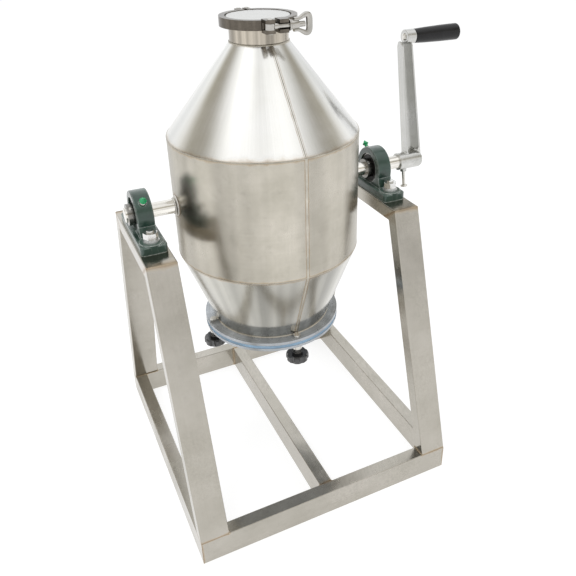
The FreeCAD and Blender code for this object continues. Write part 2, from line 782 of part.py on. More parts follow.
def housing_fasteners():
    head_radius = S.bolt_radius * HEAD_WIDTH * HEX_ACROSS
    head_height = S.bolt_radius * HEAD_HEIGHT
    nut_height = S.bolt_radius * NUT_HEIGHT
    washer_top = S.housing_foot + S.housing_pad + S.washer_thick
    nut_start = washer_top + S.lock_washer_thick
    bolt = new_body("housing_bolt")
    below = -(S.tube_thick + S.washer_thick)
    hexagon_head(bolt, below - head_height, head_radius, head_height)
    shank = new_sketch(bolt, "XY_Plane", below)
    draw_circle(shank, 0, 0, S.bolt_radius)
    pad(bolt, shank, nut_start + nut_height + S.bolt_radius * THREAD_PROUD - below)
    copies("housing_bolts", bolt, bolt_places())

    nut = new_body("housing_nut")
    hexagon_head(nut, nut_start, head_radius, nut_height)
    hole = new_sketch(nut, "XY_Plane")
    draw_circle(hole, 0, 0, S.bolt_radius)
    pocket(nut, hole)
    chamfer_hexagon(nut, head_radius, nut_start + nut_height * 0.8, nut_start + nut_height)
    copies("housing_nuts", nut, bolt_places())

    washer_radius = S.bolt_radius * WASHER_WIDTH
    hole_radius = S.bolt_radius + S.bolt_clearance
    washer = turned("housing_washer",
                    ring_corners(hole_radius, washer_radius, 0, S.washer_thick))
    places = []
    for x, y, z, axis, angle in bolt_places():
        places.append((x, y, z + S.housing_foot + S.housing_pad, axis, angle))
        places.append((x, y, z - S.tube_thick - S.washer_thick, axis, angle))
    copies("housing_washers", washer, places)

    split_washer = turned("housing_lock_washer",
                          ring_corners(S.bolt_radius + S.turning_gap / 2,
                                       S.bolt_radius * LOCK_WASHER_WIDTH,
                                       washer_top, nut_start), angle=346)
    copies("housing_lock_washers", split_washer, bolt_places())


# Drum: rolled sheet, with welded shafts and pads.

def lifted(body, label):
    place(body, 0, 0, SHAFT_HEIGHT)
    return keep(body, label)


def shaft_hole(name):
    length = S.drum_radius + S.sheet
    return bearing_cylinder(name, S.shaft_radius, length)


def drum_cylinder():
    shell = turned("rolled_cylinder", ring_corners(S.drum_radius - S.sheet, S.drum_radius,
                                                   -S.cylinder_below, S.cylinder_above))
    item = cut("drum_cylinder", shell, shaft_hole("cylinder_shaft_hole"))
    lifted(item, "drum_cylinder")


def cone(label, start_height, start_radius, end_height, end_radius):
    """A rolled cone of even sheet between two welds."""
    rise = end_height - start_height
    run = start_radius - end_radius
    slant = square_root(rise * rise + run * run)
    height = rise if rise.number > 0 else -rise
    wall = S.sheet * slant / height
    body = turned(label, [(start_radius, start_height), (end_radius, end_height),
                          (end_radius - wall, end_height), (start_radius - wall, start_height)])
    lifted(body, label)


def neck_ferrule():
    """The neck: a tube with a tapered lip for the clamp."""
    face = S.clamp_above - S.cap_gasket_thick / 2
    inside = S.neck_radius - S.sheet
    taper_start = S.lip_radius - S.lip_reach
    edge = face - S.lip_edge
    body = turned("neck_ferrule", [
        (inside, S.neck_above), (S.neck_radius, S.neck_above),
        (S.neck_radius, edge - S.lip_reach * S.lip_slope), (taper_start, edge - S.lip_reach * S.lip_slope),
        (S.lip_radius, edge), (S.lip_radius, face), (inside, face)])
    lifted(body, "neck_ferrule")


def top_gasket():
    half = S.cap_gasket_thick / 2
    body = turned("top_gasket", ring_corners(S.neck_radius - S.sheet, S.lip_radius,
                                             S.clamp_above - half, S.clamp_above + half))
    lifted(body, "top_gasket")


def top_cap():
    """The cap: a plain disc with a tapered lip."""
    face = S.clamp_above + S.cap_gasket_thick / 2
    taper_start = S.lip_radius - S.lip_reach
    edge = face + S.lip_edge
    shoulder = edge + S.lip_reach * S.lip_slope
    top = face + S.cap_thick
    body = turned("top_cap", [
        (0, face), (S.lip_radius, face), (S.lip_radius, edge), (taper_start, shoulder),
        (taper_start - (top - shoulder), top), (0, top)])
    lifted(body, "top_cap")


def clamp_half(side, label):
    """Half of the clamp: a grooved band with two ears in front and a fork behind."""
    body = new_body(label)
    half = S.clamp_height / 2
    taper_start = S.lip_radius - S.lip_reach
    lip = S.cap_gasket_thick / 2 + S.lip_edge
    mouth = lip + (S.lip_reach - S.clamp_play) * S.lip_slope
    groove = S.lip_radius + S.clamp_play
    inner = taper_start + S.clamp_play
    section = new_sketch(body, "XZ_Plane")
    draw_outline(section, [
        (side * inner, half), (side * S.clamp_radius, half), (side * S.clamp_radius, -half),
        (side * inner, -half), (side * inner, -mouth), (side * S.lip_radius, -lip),
        (side * groove, -lip), (side * groove, lip), (side * S.lip_radius, lip),
        (side * inner, mouth)])
    split_angle = math.degrees(S.clamp_split.number / S.clamp_radius.number)
    revolve(body, section, "Z_Axis", 180 - split_angle)
    ear_start = side * S.clamp_split / 2
    ear_end = side * (S.clamp_split / 2 + S.ear_width)
    ear_root = S.clamp_radius - S.root_overlap
    ear_tip = BOLT_LINE + S.clamp_bolt_radius + S.small_bevel
    ear = new_sketch(body, "XY_Plane")
    draw_rectangle(ear, ear_start, ear_end, -ear_tip, -ear_root)
    pad(body, ear, S.ear_height, both_ways=True)
    fork_end = side * (S.link_pin_offset + 2.1 * S.link_pin_radius)
    fork_tip = LINK_LINE + 2 * S.link_pin_radius
    fork = new_sketch(body, "XY_Plane")
    draw_rectangle(fork, ear_start / 2, fork_end, ear_root, fork_tip)
    pad(body, fork, S.clamp_height, both_ways=True)
    document.recompute()
    inner_cut = (S.clamp_bolt_eye if side < 0 else S.clamp_bolt_radius) + S.small_bevel
    ear_slot = new_sketch(body, "XY_Plane")
    draw_rectangle(ear_slot, 0, ear_end + side, -ear_tip - 1, inner_cut - BOLT_LINE)
    pocket(body, ear_slot, S.ear_slot)
    fork_slot = new_sketch(body, "XY_Plane")
    draw_rectangle(fork_slot, 0, fork_end + side, S.clamp_radius + S.clamp_play, fork_tip + 1)
    pocket(body, fork_slot, S.link_thick + 2 * S.turning_gap)
    holes = new_sketch(body, "XY_Plane")
    draw_circle(holes, side * S.link_pin_offset, LINK_LINE, S.link_pin_radius)
    if side < 0:
        draw_circle(holes, -S.clamp_pin_offset, -BOLT_LINE, S.clamp_pin_radius)
    pocket(body, holes)
    document.recompute()
    outside = -(S.clamp_radius + S.root_overlap).number
    round_edges(body, edges_along(body.Shape, (0, 0, 1), lambda middle: middle.y < outside),
                S.broad_bevel)
    place(body, 0, 0, SHAFT_HEIGHT + S.clamp_above)
    keep(body, label)


def clamp_link():
    """The link that joins the two halves at the back."""
    body = new_body("clamp_link")
    radius = S.link_pin_radius * 2
    web = new_sketch(body, "XY_Plane")
    draw_rectangle(web, -S.link_pin_offset, S.link_pin_offset, LINK_LINE - radius, LINK_LINE + radius)
    pad(body, web, S.link_thick, both_ways=True)
    document.recompute()
    for side in (-1, 1):
        end = new_sketch(body, "XY_Plane")
        draw_circle(end, side * S.link_pin_offset, LINK_LINE, radius)
        pad(body, end, S.link_thick, both_ways=True)
    holes = new_sketch(body, "XY_Plane")
    for side in (-1, 1):
        draw_circle(holes, side * S.link_pin_offset, LINK_LINE, S.link_pin_radius)
    pocket(body, holes)
    place(body, 0, 0, SHAFT_HEIGHT + S.clamp_above)
    keep(body, "clamp_link")


def headed_pin(name, radius, grip):
    """A riveted pin with a low head at each end of the thickness that it holds."""
    half = grip / 2
    head = radius * 1.5
    end = half + S.collar_step
    edge = half + S.collar_step / 2
    flat = head - S.collar_step / 2
    return turned(name, [(0, -end), (flat, -end), (head, -edge), (head, -half), (radius, -half),
                         (radius, half), (head, half), (head, edge), (flat, end), (0, end)])


def clamp_pins():
    height = SHAFT_HEIGHT + S.clamp_above
    link_pin = headed_pin("clamp_link_pin", S.link_pin_radius, S.clamp_height)
    copies("clamp_link_pins", link_pin, [(side * S.link_pin_offset, LINK_LINE, height, None, 0)
                                         for side in (-1, 1)])
    bolt_pin = headed_pin("swing_pin", S.clamp_pin_radius, S.ear_height)
    copy_of("clamp_bolt_pin", bolt_pin, -S.clamp_pin_offset, -BOLT_LINE, height)


def clamp_bolt():
    """Swing bolt of the clamp. Its own origin is its pin."""
    body = new_body("clamp_bolt")
    eye = new_sketch(body, "XY_Plane")
    draw_circle(eye, 0, 0, S.clamp_bolt_eye)
    pad(body, eye, S.ear_slot - 2 * S.turning_gap, both_ways=True)
    shank = new_sketch(body, "YZ_Plane")
    draw_circle(shank, 0, 0, S.clamp_bolt_radius)
    pad(body, shank, S.clamp_bolt_reach)
    hole = new_sketch(body, "XY_Plane")
    draw_circle(hole, 0, 0, S.clamp_pin_radius + S.running_fit)
    pocket(body, hole)
    place(body, -S.clamp_pin_offset, -BOLT_LINE, SHAFT_HEIGHT + S.clamp_above)
    keep(body, "clamp_bolt")


def wing_nut():
    """Wing nut with a closed loop. Its own origin is the middle of its seat."""
    body = new_body("wing_nut")
    barrel = new_sketch(body, "XZ_Plane")
    outside = S.wing_barrel_radius
    collar = outside + S.collar_step
    draw_outline(barrel, [(0, 0), (0, collar), (2 * S.collar_step, collar),
                          (2 * S.collar_step + S.small_bevel, outside),
                          (S.wing_barrel_length, outside - S.small_bevel), (S.wing_barrel_length, 0)])
    revolve(body, barrel, "X_Axis")
    loop = new_sketch(body, "XZ_Plane")
    root = S.wing_barrel_length * 0.72
    high = S.wing_half_height
    reach = S.wing_reach
    draw_outline(loop, [(root, -outside), (root, outside), (reach * 0.8, high), (reach, high * 0.75),
                        (reach, -high * 0.75), (reach * 0.8, -high)])
    bar = S.wing_bar
    start = S.wing_barrel_length + S.small_bevel
    mouth = outside - S.collar_step
    draw_outline(loop, [(start, -mouth), (start, mouth), (reach * 0.8, high - bar),
                        (reach - bar, high * 0.75 - bar * 0.45),
                        (reach - bar, bar * 0.45 - high * 0.75), (reach * 0.8, bar - high)])
    pad(body, loop, S.wing_thick, both_ways=True)
    document.recompute()
    middle_of_bar = (reach - bar / 2).number
    outer = edges_along(body.Shape, (0, 1, 0), lambda middle: middle.x > middle_of_bar
                        or abs(middle.z) > (high - bar / 2).number)
    round_edges(body, outer, S.wing_bar)
    inner = edges_along(body.Shape, (0, 1, 0), lambda middle: reach.number * 0.7 < middle.x
                        < middle_of_bar and abs(middle.z) < (high - bar / 2).number)
    round_edges(body, inner, S.wing_bar * 0.4)
    hole = new_sketch(body, "YZ_Plane")
    draw_circle(hole, 0, 0, S.clamp_bolt_radius + S.running_fit)
    pocket(body, hole, S.wing_barrel_length + 1, both_ways=False, backwards=True)
    place(body, WING_SEAT, -BOLT_LINE, SHAFT_HEIGHT + S.clamp_above)
    keep(body, "wing_nut")


# Bottom outlet: flange, gasket and lid held by four studs with star knobs.

def stud_places(height):
    places = []
    for turn in (-90, 0, 90, 180):
        angle = math.radians(turn)
        places.append((S.stud_circle * math.cos(angle), S.stud_circle * math.sin(angle),
                       SHAFT_HEIGHT - height, (0, 0, 1), turn))
    return places


def drilled_ring(label, inner, low, high, outer):
    """A turned plate about the drum's axis with a clearance hole for each stud."""
    corners = ring_corners(inner, outer, low, high)
    body = turned(label, corners)
    holes = new_sketch(body, "XY_Plane")
    draw_circle(holes, S.stud_circle, 0, S.stud_radius + S.bolt_clearance / 2)
    first = pocket(body, holes)
    pattern = body.newObject("PartDesign::PolarPattern", label + "_pattern")
    pattern.Originals = [first]
    pattern.Axis = (origin_feature(body, "Z_Axis"), [""])
    pattern.Angle = 360
    pattern.Occurrences = 4
    body.Tip = pattern
    lifted(body, label)


def bottom_outlet():
    wall = S.sheet * 1.1
    flange_bottom = S.outlet_below + S.flange_thick
    drilled_ring("bottom_flange", S.outlet_radius - wall, -flange_bottom, -S.outlet_below,
                 S.flange_radius)
    drilled_ring("bottom_gasket", S.outlet_radius - wall, -LID_TOP, -flange_bottom,
                 S.flange_radius - S.small_bevel)
    drilled_ring("bottom_lid", as_size(0), -LID_BOTTOM, -LID_TOP, S.flange_radius)

    stud = new_body("lid_stud")
    head_radius = S.stud_radius * STUD_HEAD_WIDTH * HEX_ACROSS
    head_height = S.stud_radius * STUD_HEAD_HEIGHT
    hexagon_head(stud, 0, head_radius, head_height)
    chamfer_hexagon(stud, head_radius, head_height * 0.8, head_height)
    shank = new_sketch(stud, "XY_Plane")
    draw_circle(shank, 0, 0, S.stud_radius)
    pad(stud, shank, KNOB_TOP + S.knob_height * 0.6 - S.outlet_below, backwards=True)
    copies("lid_studs", stud, stud_places(S.outlet_below))

    sleeve = turned("stud_sleeve", [
        (S.stud_radius + S.bolt_clearance / 2, -S.sleeve_length),
        (S.sleeve_radius - S.broad_bevel, -S.sleeve_length),
        (S.sleeve_radius, -S.sleeve_length / 2), (S.sleeve_radius, 0),
        (S.stud_radius + S.bolt_clearance / 2, 0)])
    copies("stud_sleeves", sleeve, stud_places(LID_BOTTOM))


def star_knob():
    """A star knob with a blind bore. Its own origin is the middle of its top."""
    body = new_body("star_knob")
    neck = S.knob_height * 0.25
    disc = new_sketch(body, "XY_Plane", -S.knob_height)
    draw_circle(disc, 0, 0, S.knob_radius)
    pad(body, disc, S.knob_height - neck)
    document.recompute()
    rims = circle_edges(body.Shape, lambda centre: True, S.knob_radius.number)
    round_edges(body, rims, neck * 0.7)
    scallop = new_sketch(body, "XY_Plane")
    draw_circle(scallop, S.knob_radius * 1.17, 0, S.knob_radius * 0.31)
    first = pocket(body, scallop)
    pattern = body.newObject("PartDesign::PolarPattern", "knob_pattern")
    pattern.Originals = [first]
    pattern.Axis = (origin_feature(body, "Z_Axis"), [""])
    pattern.Angle = 360
    bind(pattern, "Occurrences", S.knob_lobes)
    body.Tip = pattern
    document.recompute()
    collar = new_sketch(body, "XY_Plane")
    draw_circle(collar, 0, 0, S.knob_radius * 0.5)
    pad(body, collar, S.knob_height / 2, backwards=True)
    bore = new_sketch(body, "XY_Plane")
    draw_circle(bore, 0, 0, S.stud_radius + S.running_fit)
    pocket(body, bore, S.knob_height * 0.7, both_ways=False)
    return body


def knobs():
    master = star_knob()
    for name, spot in zip(("front", "right", "back", "left"), stud_places(KNOB_TOP)):
        copies("knob_" + name, master, [spot])


# Shafts, pads and crank.

def shafts():
    wall = S.drum_radius
    start = wall - S.shaft_inside
    collar = wall + S.weld_length
    left_end = BEAM_X + S.inner_ring_long + S.shaft_tail
    right_end = HUB_END
    for label, side, end in (("left_shaft", -1, left_end), ("right_shaft", 1, right_end)):
        body = turned(label, [
            (side * start, 0), (side * start, S.shaft_radius), (side * wall, S.shaft_radius),
            (side * wall, S.weld_radius), (side * (wall + S.broad_bevel), S.weld_radius),
            (side * collar, S.shaft_radius), (side * (end - S.small_bevel), S.shaft_radius),
            (side * end, S.shaft_radius - S.small_bevel), (side * end, 0)], "X_Axis")
        lifted(body, label)


def shaft_pads():
    """Curved pads inside the drum that stiffen the sheet round the shafts."""
    outside = S.drum_radius - S.sheet
    for side, start in (("left", -S.drum_radius), ("right", as_size(0))):
        ring = cut(side + "_pad_ring",
                   cylinder(side + "_pad_outside", outside, 2 * S.pad_radius, "z", -S.pad_radius),
                   cylinder(side + "_pad_inside", outside - S.pad_thick, 2 * S.pad_radius, "z",
                            -S.pad_radius))
        disc = document.addObject("Part::Common", side + "_pad_disc")
        disc.Base = ring
        disc.Tool = cylinder(side + "_pad_edge", S.pad_radius, S.drum_radius, "x", start)
        item = cut(side + "_pad", disc, shaft_hole(side + "_pad_hole"))
        lifted(item, side + "_pad")


def on_crank(body, label):
    place(body, 0, 0, SHAFT_HEIGHT, (1, 0, 0), S.crank_angle)
    return keep(body, label)


def crank_hub():
    """The hub: a sleeve on the shaft with a small boss for the clamping screw."""
    body = new_body("crank_hub")
    sleeve = new_sketch(body, "YZ_Plane", S.hub_start)
    draw_circle(sleeve, 0, 0, S.hub_radius)
    pad(body, sleeve, HUB_END - S.hub_start)
    boss = new_sketch(body, "XY_Plane")
    screw_x = S.hub_start + S.screw_offset
    draw_circle(boss, screw_x, 0, S.screw_radius * 2)
    pad(body, boss, S.hub_radius + S.screw_radius * 1.4, backwards=True)
    bore = new_sketch(body, "YZ_Plane")
    draw_circle(bore, 0, 0, S.shaft_radius)
    pocket(body, bore)
    hole = new_sketch(body, "XY_Plane")
    draw_circle(hole, screw_x, 0, S.screw_radius + S.running_fit)
    pocket(body, hole, S.screw_reach, both_ways=False)
    on_crank(body, "crank_hub")


def arm_outline(sketch):
    """The arm seen along the shaft: tapered, with a sloping top below the grip."""
    low = S.arm_half_low
    high = S.arm_half_high
    top = S.crank_length
    draw_outline(sketch, [(-low, 0), (low, 0), (high, top - high * 1.8), (high * 0.4, top - high * 0.6),
                          (-high, top - high * 1.75)])


def crank_arm():
    """The arm: a tapered channel, open to the front, with a boss for the spindle."""
    body = new_body("crank_arm")
    top = S.crank_length + S.boss_radius
    low = S.hub_radius
    wide = 4 * S.arm_half_low
    front_view = new_sketch(body, "XZ_Plane")
    draw_outline(front_view, [(S.arm_start, 0), (ARM_END_LOW, 0), (ARM_END_LOW, low),
                              (ARM_END_HIGH, top), (S.arm_start, top)])
    pad(body, front_view, wide, both_ways=True)
    trim = new_sketch(body, "YZ_Plane")
    draw_rectangle(trim, -wide, wide, -wide, top + wide)
    arm_outline(trim)
    pocket(body, trim)
    document.recompute()
    corners = edges_along(body.Shape, (1, 0, 0),
                          lambda middle: middle.z > S.crank_length.number / 2)
    round_edges(body, corners, S.arm_wall)
    inside = S.arm_start + S.arm_wall
    channel = new_sketch(body, "XZ_Plane", wide / 2 - (S.arm_half_high - S.arm_wall))
    draw_outline(channel, [(inside, -low), (HUB_END, -low), (HUB_END, low),
                           (ARM_END_HIGH - S.arm_wall, top + low), (inside, top + low)])
    pocket(body, channel, wide)
    hub_cut = new_sketch(body, "XZ_Plane")
    draw_rectangle(hub_cut, S.arm_start - 1, HUB_END, -low, low * 0.3)
    pocket(body, hub_cut, wide)
    seat = new_sketch(body, "YZ_Plane")
    draw_circle(seat, 0, 0, low)
    pocket(body, seat, HUB_END, both_ways=False, backwards=True)
    end_plate = new_sketch(body, "YZ_Plane", HUB_END)
    draw_circle(end_plate, 0, 0, low - S.arm_wall / 2)
    pad(body, end_plate, S.arm_wall)
    boss = new_sketch(body, "YZ_Plane", S.arm_start + S.boss_start)
    draw_circle(boss, 0, S.crank_length, S.boss_radius)
    pad(body, boss, S.arm_width_high - S.boss_start + S.boss_proud)
    hole = new_sketch(body, "YZ_Plane")
    draw_circle(hole, 0, S.crank_length, S.spindle_radius)
    pocket(body, hole)
    document.recompute()
    rims = circle_edges(body.Shape, lambda centre: centre.z > S.crank_length.number - 1,
                        S.boss_radius.number)
    round_edges(body, rims, S.arm_wall / 2)
    on_crank(body, "crank_arm")


def grip_axis(item, label):
    """Lift a piece drawn about the X axis to the crank's grip."""
    angle = math.radians(S.crank_angle.number)
    sine = "sin(Sizes.crank_angle)"
    cosine = "cos(Sizes.crank_angle)"
    across = -S.crank_length * Size(math.sin(angle), sine)
    up = SHAFT_HEIGHT + S.crank_length * Size(math.cos(angle), cosine)
    place(item, 0, across, up, (1, 0, 0), S.crank_angle)
    return keep(item, label)


def grip_spindle():
    """The spindle, riveted into the arm, with a shoulder that keeps the grip on."""
    start = S.arm_start + S.boss_start
    radius = S.spindle_radius
    end = GRIP_START + S.spindle_reach
    body = turned("grip_spindle", [
        (start - S.rivet_head, 0), (start - S.rivet_head, radius * 0.7),
        (start - S.rivet_head / 2, radius * 1.3), (start, radius * 1.3), (start, radius),
        (end - S.shoulder_length, radius), (end - S.shoulder_length, radius * SHOULDER_WIDTH),
        (end, radius * SHOULDER_WIDTH), (end, 0)], "X_Axis")
    grip_axis(body, "grip_spindle")


def crank_grip():
    """The turning grip: a swelling handle with a round rim, bored for its spindle."""
    start = GRIP_START
    bore = S.spindle_radius + S.running_fit
    collar = S.spindle_radius * SHOULDER_WIDTH + S.running_fit
    spindle_end = start + S.spindle_reach
    shoulder = spindle_end - S.shoulder_length - S.turning_gap
    length = S.grip_length
    swell = S.grip_radius_high - S.grip_radius_low
    body = turned("crank_grip", [
        (start, bore), (start, S.grip_radius_low - S.collar_step),
        (start + S.collar_step, S.grip_radius_low),
        (start + length * 0.25, S.grip_radius_low + swell * 0.5),
        (start + length * 0.6, S.grip_radius_low + swell * 0.9),
        (start + length * 0.85, S.grip_radius_high), (start + length, S.grip_radius_high),
        (start + length, 0), (spindle_end + S.turning_gap, 0),
        (spindle_end + S.turning_gap, collar), (shoulder, collar), (shoulder, bore)], "X_Axis")
    document.recompute()
    end = (start + length).number
    rims = circle_edges(body.Shape, lambda centre: abs(centre.x - end) < 1e-3,
                        S.grip_radius_high.number)
    round_edges(body, rims, S.grip_round)
    grip_axis(body, "crank_grip")


def crank_screw():
    """The clamping screw under the hub, with a flat round head."""
    body = new_body("crank_screw")
    sketch = new_sketch(body, "XZ_Plane")
    tip = S.shaft_radius + S.turning_gap
    head = S.screw_reach
    under = S.screw_head_height - head
    bevel = S.small_bevel
    draw_outline(sketch, [
        (0, -tip), (S.screw_radius - bevel, -tip), (S.screw_radius, -tip - bevel),
        (S.screw_radius, under), (S.screw_head_radius - bevel, under),
        (S.screw_head_radius, under - bevel), (S.screw_head_radius, bevel - head),
        (S.screw_head_radius - bevel, -head), (0, -head)])
    revolve(body, sketch, "Z_Axis")
    place(body, S.hub_start + S.screw_offset, 0, SHAFT_HEIGHT, (1, 0, 0), S.crank_angle)
    keep(body, "crank_screw")


def build():
    base_rails()
    middle_rail()
    trestles()
    housing("left", -BEAM_X, 0)
    housing("right", BEAM_X, 180)
    outer_rings()
    inner_rings()
    ring_screws()
    bearing_seals()
    balls_and_cages()
    grease_nipples()
    housing_fasteners()
    drum_cylinder()
    cone("upper_cone", S.cylinder_above, S.drum_radius, S.neck_above, S.neck_radius)
    cone("lower_cone", -S.cylinder_below, S.drum_radius, -S.outlet_below, S.outlet_radius)
    neck_ferrule()
    top_gasket()
    top_cap()
    clamp_half(-1, "clamp_left_half")
    clamp_half(1, "clamp_right_half")
    clamp_link()
    clamp_pins()
    clamp_bolt()
    wing_nut()
    bottom_outlet()
    knobs()
    shafts()
    shaft_pads()
    crank_hub()
    crank_arm()
    grip_spindle()
    crank_grip()
    crank_screw()


def check():
    document.recompute()
    for item in document.Objects:
        if "Invalid" in item.State or "Error" in item.State:
            raise ValueError("%s failed: %s" % (item.Label, item.State))
    for item in NODES:
        if item.Shape.isNull() or not item.Shape.isValid():
            raise ValueError("%s has no valid shape" % item.Label)


def write():
    os.makedirs("parts", exist_ok=True)
    for item in NODES:
        item.Shape.exportStep("parts/%s.step" % item.Label)
        print(item.Label, len(item.Shape.Solids), round(item.Shape.Volume, 1))
    print(len(NODES), "nodes")


build()
check()
write()
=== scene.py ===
"""Looks of a hand-cranked powder mixer, laid out as an add-on and run as a script."""

import json
import math

import bmesh
import bpy
from mathutils import Matrix, Vector


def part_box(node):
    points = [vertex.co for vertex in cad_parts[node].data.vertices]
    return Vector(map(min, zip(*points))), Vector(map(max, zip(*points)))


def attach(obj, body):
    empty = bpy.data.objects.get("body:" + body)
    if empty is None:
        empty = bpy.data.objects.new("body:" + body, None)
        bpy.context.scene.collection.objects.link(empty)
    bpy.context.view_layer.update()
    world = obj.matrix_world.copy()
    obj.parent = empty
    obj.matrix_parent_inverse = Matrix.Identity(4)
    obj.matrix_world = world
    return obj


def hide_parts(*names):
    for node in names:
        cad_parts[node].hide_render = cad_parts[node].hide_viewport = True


bl_info = {
    "name": "Powder Mixer Looks",
    "version": (1, 0, 0),
    "blender": (4, 5, 0),
    "location": "3D View > Sidebar > Mixer",
    "description": "Finishes, welds and small parts of a hand-cranked powder mixer",
    "category": "Object",
}

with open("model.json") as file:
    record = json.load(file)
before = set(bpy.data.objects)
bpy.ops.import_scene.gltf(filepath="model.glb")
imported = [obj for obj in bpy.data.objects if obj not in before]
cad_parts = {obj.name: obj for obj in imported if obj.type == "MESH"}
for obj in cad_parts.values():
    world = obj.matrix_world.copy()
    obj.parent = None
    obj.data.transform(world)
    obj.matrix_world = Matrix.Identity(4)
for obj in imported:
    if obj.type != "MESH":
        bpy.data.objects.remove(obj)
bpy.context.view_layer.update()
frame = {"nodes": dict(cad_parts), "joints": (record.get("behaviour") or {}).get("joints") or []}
NODES = frame["nodes"]
JOINTS = {joint["name"]: joint for joint in frame["joints"]}
AXLE = Vector(JOINTS["drum_spin"]["pos_m"])
MM = 0.001
FULL_TURN = 2 * math.pi

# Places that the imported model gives.
DRUM_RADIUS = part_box("drum_cylinder")[1].x
UPPER_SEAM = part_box("drum_cylinder")[1].z
LOWER_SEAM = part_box("drum_cylinder")[0].z
CONE_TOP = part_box("upper_cone")[1].z
CONE_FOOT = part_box("lower_cone")[0].z
RAIL_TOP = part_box("front_rail")[1].z
BEAM_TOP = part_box("left_beam")[1].z
BEAM_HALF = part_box("left_beam")[1].y
BEAM_X = (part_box("right_beam")[0].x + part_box("right_beam")[1].x) / 2
BASE_HALF_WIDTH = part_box("front_rail")[1].x
BASE_HALF_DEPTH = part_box("right_rail")[1].y
HUB_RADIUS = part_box("crank_hub")[1].y
ARM_SIDES = (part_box("crank_arm")[0].x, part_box("crank_hub")[1].x)
NUT_SEAT = Vector(JOINTS["wing_nut_turn"]["pos_m"])
SEAL_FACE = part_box("bearing_seals")[1].x - BEAM_X

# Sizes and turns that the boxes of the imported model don't give.
NECK_RADIUS = 38 * MM
OUTLET_RADIUS = 86.5 * MM
COLLAR_RADIUS = 13 * MM
COLLAR_REACH = 4.2 * MM
TUBE_THICK = 20 * MM
TUBE_HALF = 20 * MM
FOOT_DEPTH = TUBE_THICK * 1.08
SEAM_TURN = math.radians(1.1)
NIPPLE_SEAT = 30.5 * MM
CRANK_TURN = Matrix.Rotation(math.radians(-10), 4, "X")

# Colours that are not among the settings.
STAND_WELD = (0.46, 0.385, 0.29)
# Steel of the cone under the drum: a darker copy of the upper cone's, painted shade for its
# downward face.
SHADED_LOWER_STEEL = (0.55, 0.54, 0.505)
TURNED_NECK = (0.55, 0.50, 0.43)
DARK_CLAMP = (0.165, 0.145, 0.122)
TURNED_FLANGE = (0.50, 0.525, 0.56)
CLEAR_SILICONE = (0.75, 0.76, 0.75)
SEAL_RUBBER = (0.012, 0.012, 0.012)
CAGE_RESIN = (0.25, 0.19, 0.11)
BOLT_PLATING = (0.82, 0.82, 0.82)
WASHER_PLATING = (0.74, 0.75, 0.76)
ARM_PLATING = (0.60, 0.60, 0.59)
HUB_METAL = (0.66, 0.66, 0.65)
CRANK_WELD = (0.88, 0.88, 0.87)
WORN_PAINT = (0.10, 0.13, 0.11)
# Level tops of the housings: partly worn paint, partly a painted sheen.
TOP_WEAR_AND_SHEEN = (0.16, 0.22, 0.19)
CHIPPED_EDGE = (0.62, 0.67, 0.64)

# The camera, fitted to the photograph: yaw, downward pitch and roll are in degrees.
CAMERA_PLACE = (-0.31578, -0.80013, 0.80879)
CAMERA_TURN = (-25.44, 28.08, -0.84)
CAMERA_SHIFT = (-0.0349, -0.0756)
SENSOR_WIDTH = 36

# The studio. Metal mirrors walls, which go from low to high, and a backdrop on one side.
# A lamp has a name, a place, a size in metres and a share of the key lamp's power.
FLOOR_DROP = 0.5 * MM
FLOOR_GLOW = 0.825
FLOOR_COLOUR = 0.9
FLOOR_COLOUR_SEEN = 0.34
WALLS = [
    (0.0, (0.77, 0.77, 0.77)), (0.28, (0.74, 0.73, 0.71)), (0.45, (0.33, 0.31, 0.26)),
    (0.60, (0.34, 0.32, 0.28)), (0.72, (0.80, 0.80, 0.79)), (0.82, (1.0, 1.0, 1.0)),
    (1.0, (0.85, 0.85, 0.85))]
WALL_LIGHT = (1.1, 1.5)
BACKDROP_WAY = (0.42, 0.91, 0.0)
BACKDROP = (0.78, 0.79, 0.80)
LAMPS_AIM = (0, 0, 0.4)
LAMPS = (
    ("key", (-1.3, -1.6, 2.3), 1.0, 1.0),
    ("fill", (2.0, -1.2, 1.4), 0.9, 0.35),
    ("top", (0.3, 0.6, 2.6), 1.2, 0.6),
    ("back", (-1.6, 1.9, 1.6), 0.8, 0.3))


# Settings that a user would change.

class MixerSteelSettings(bpy.types.PropertyGroup):
    tube: bpy.props.FloatVectorProperty(
        name="Tube", description="Colour of the stand's tube", subtype="COLOR", size=3,
        min=0, max=1, default=(0.47, 0.445, 0.40))
    sheet: bpy.props.FloatVectorProperty(
        name="Drum sheet", description="Colour of the drum's cylinder and seams",
        subtype="COLOR", size=3, min=0, max=1, default=(0.52, 0.49, 0.43))
    cone: bpy.props.FloatVectorProperty(
        name="Upper cone", description="Colour of the upper cone and the cap",
        subtype="COLOR", size=3, min=0, max=1, default=(0.84, 0.835, 0.82))
    turned: bpy.props.FloatVectorProperty(
        name="Turned parts", description="Colour of shafts, rings, studs and the clamp's bolt",
        subtype="COLOR", size=3, min=0, max=1, default=(0.56, 0.545, 0.52))
    tint: bpy.props.FloatVectorProperty(
        name="Heat tint", description="Colour beside the welds", subtype="COLOR", size=3,
        min=0, max=1, default=(0.36, 0.245, 0.13))
    roughness: bpy.props.FloatProperty(
        name="Roughness", description="Gloss of the sheet and tube", subtype="FACTOR",
        min=0, max=1, default=0.17)


class MixerWeldSettings(bpy.types.PropertyGroup):
    bead: bpy.props.FloatProperty(
        name="Bead", description="Radius of a weld bead", unit="LENGTH", min=0, default=0.0011)
    pitch: bpy.props.FloatProperty(
        name="Pitch", description="Distance between the ripples of a bead", unit="LENGTH",
        min=0.0005, default=0.0019)


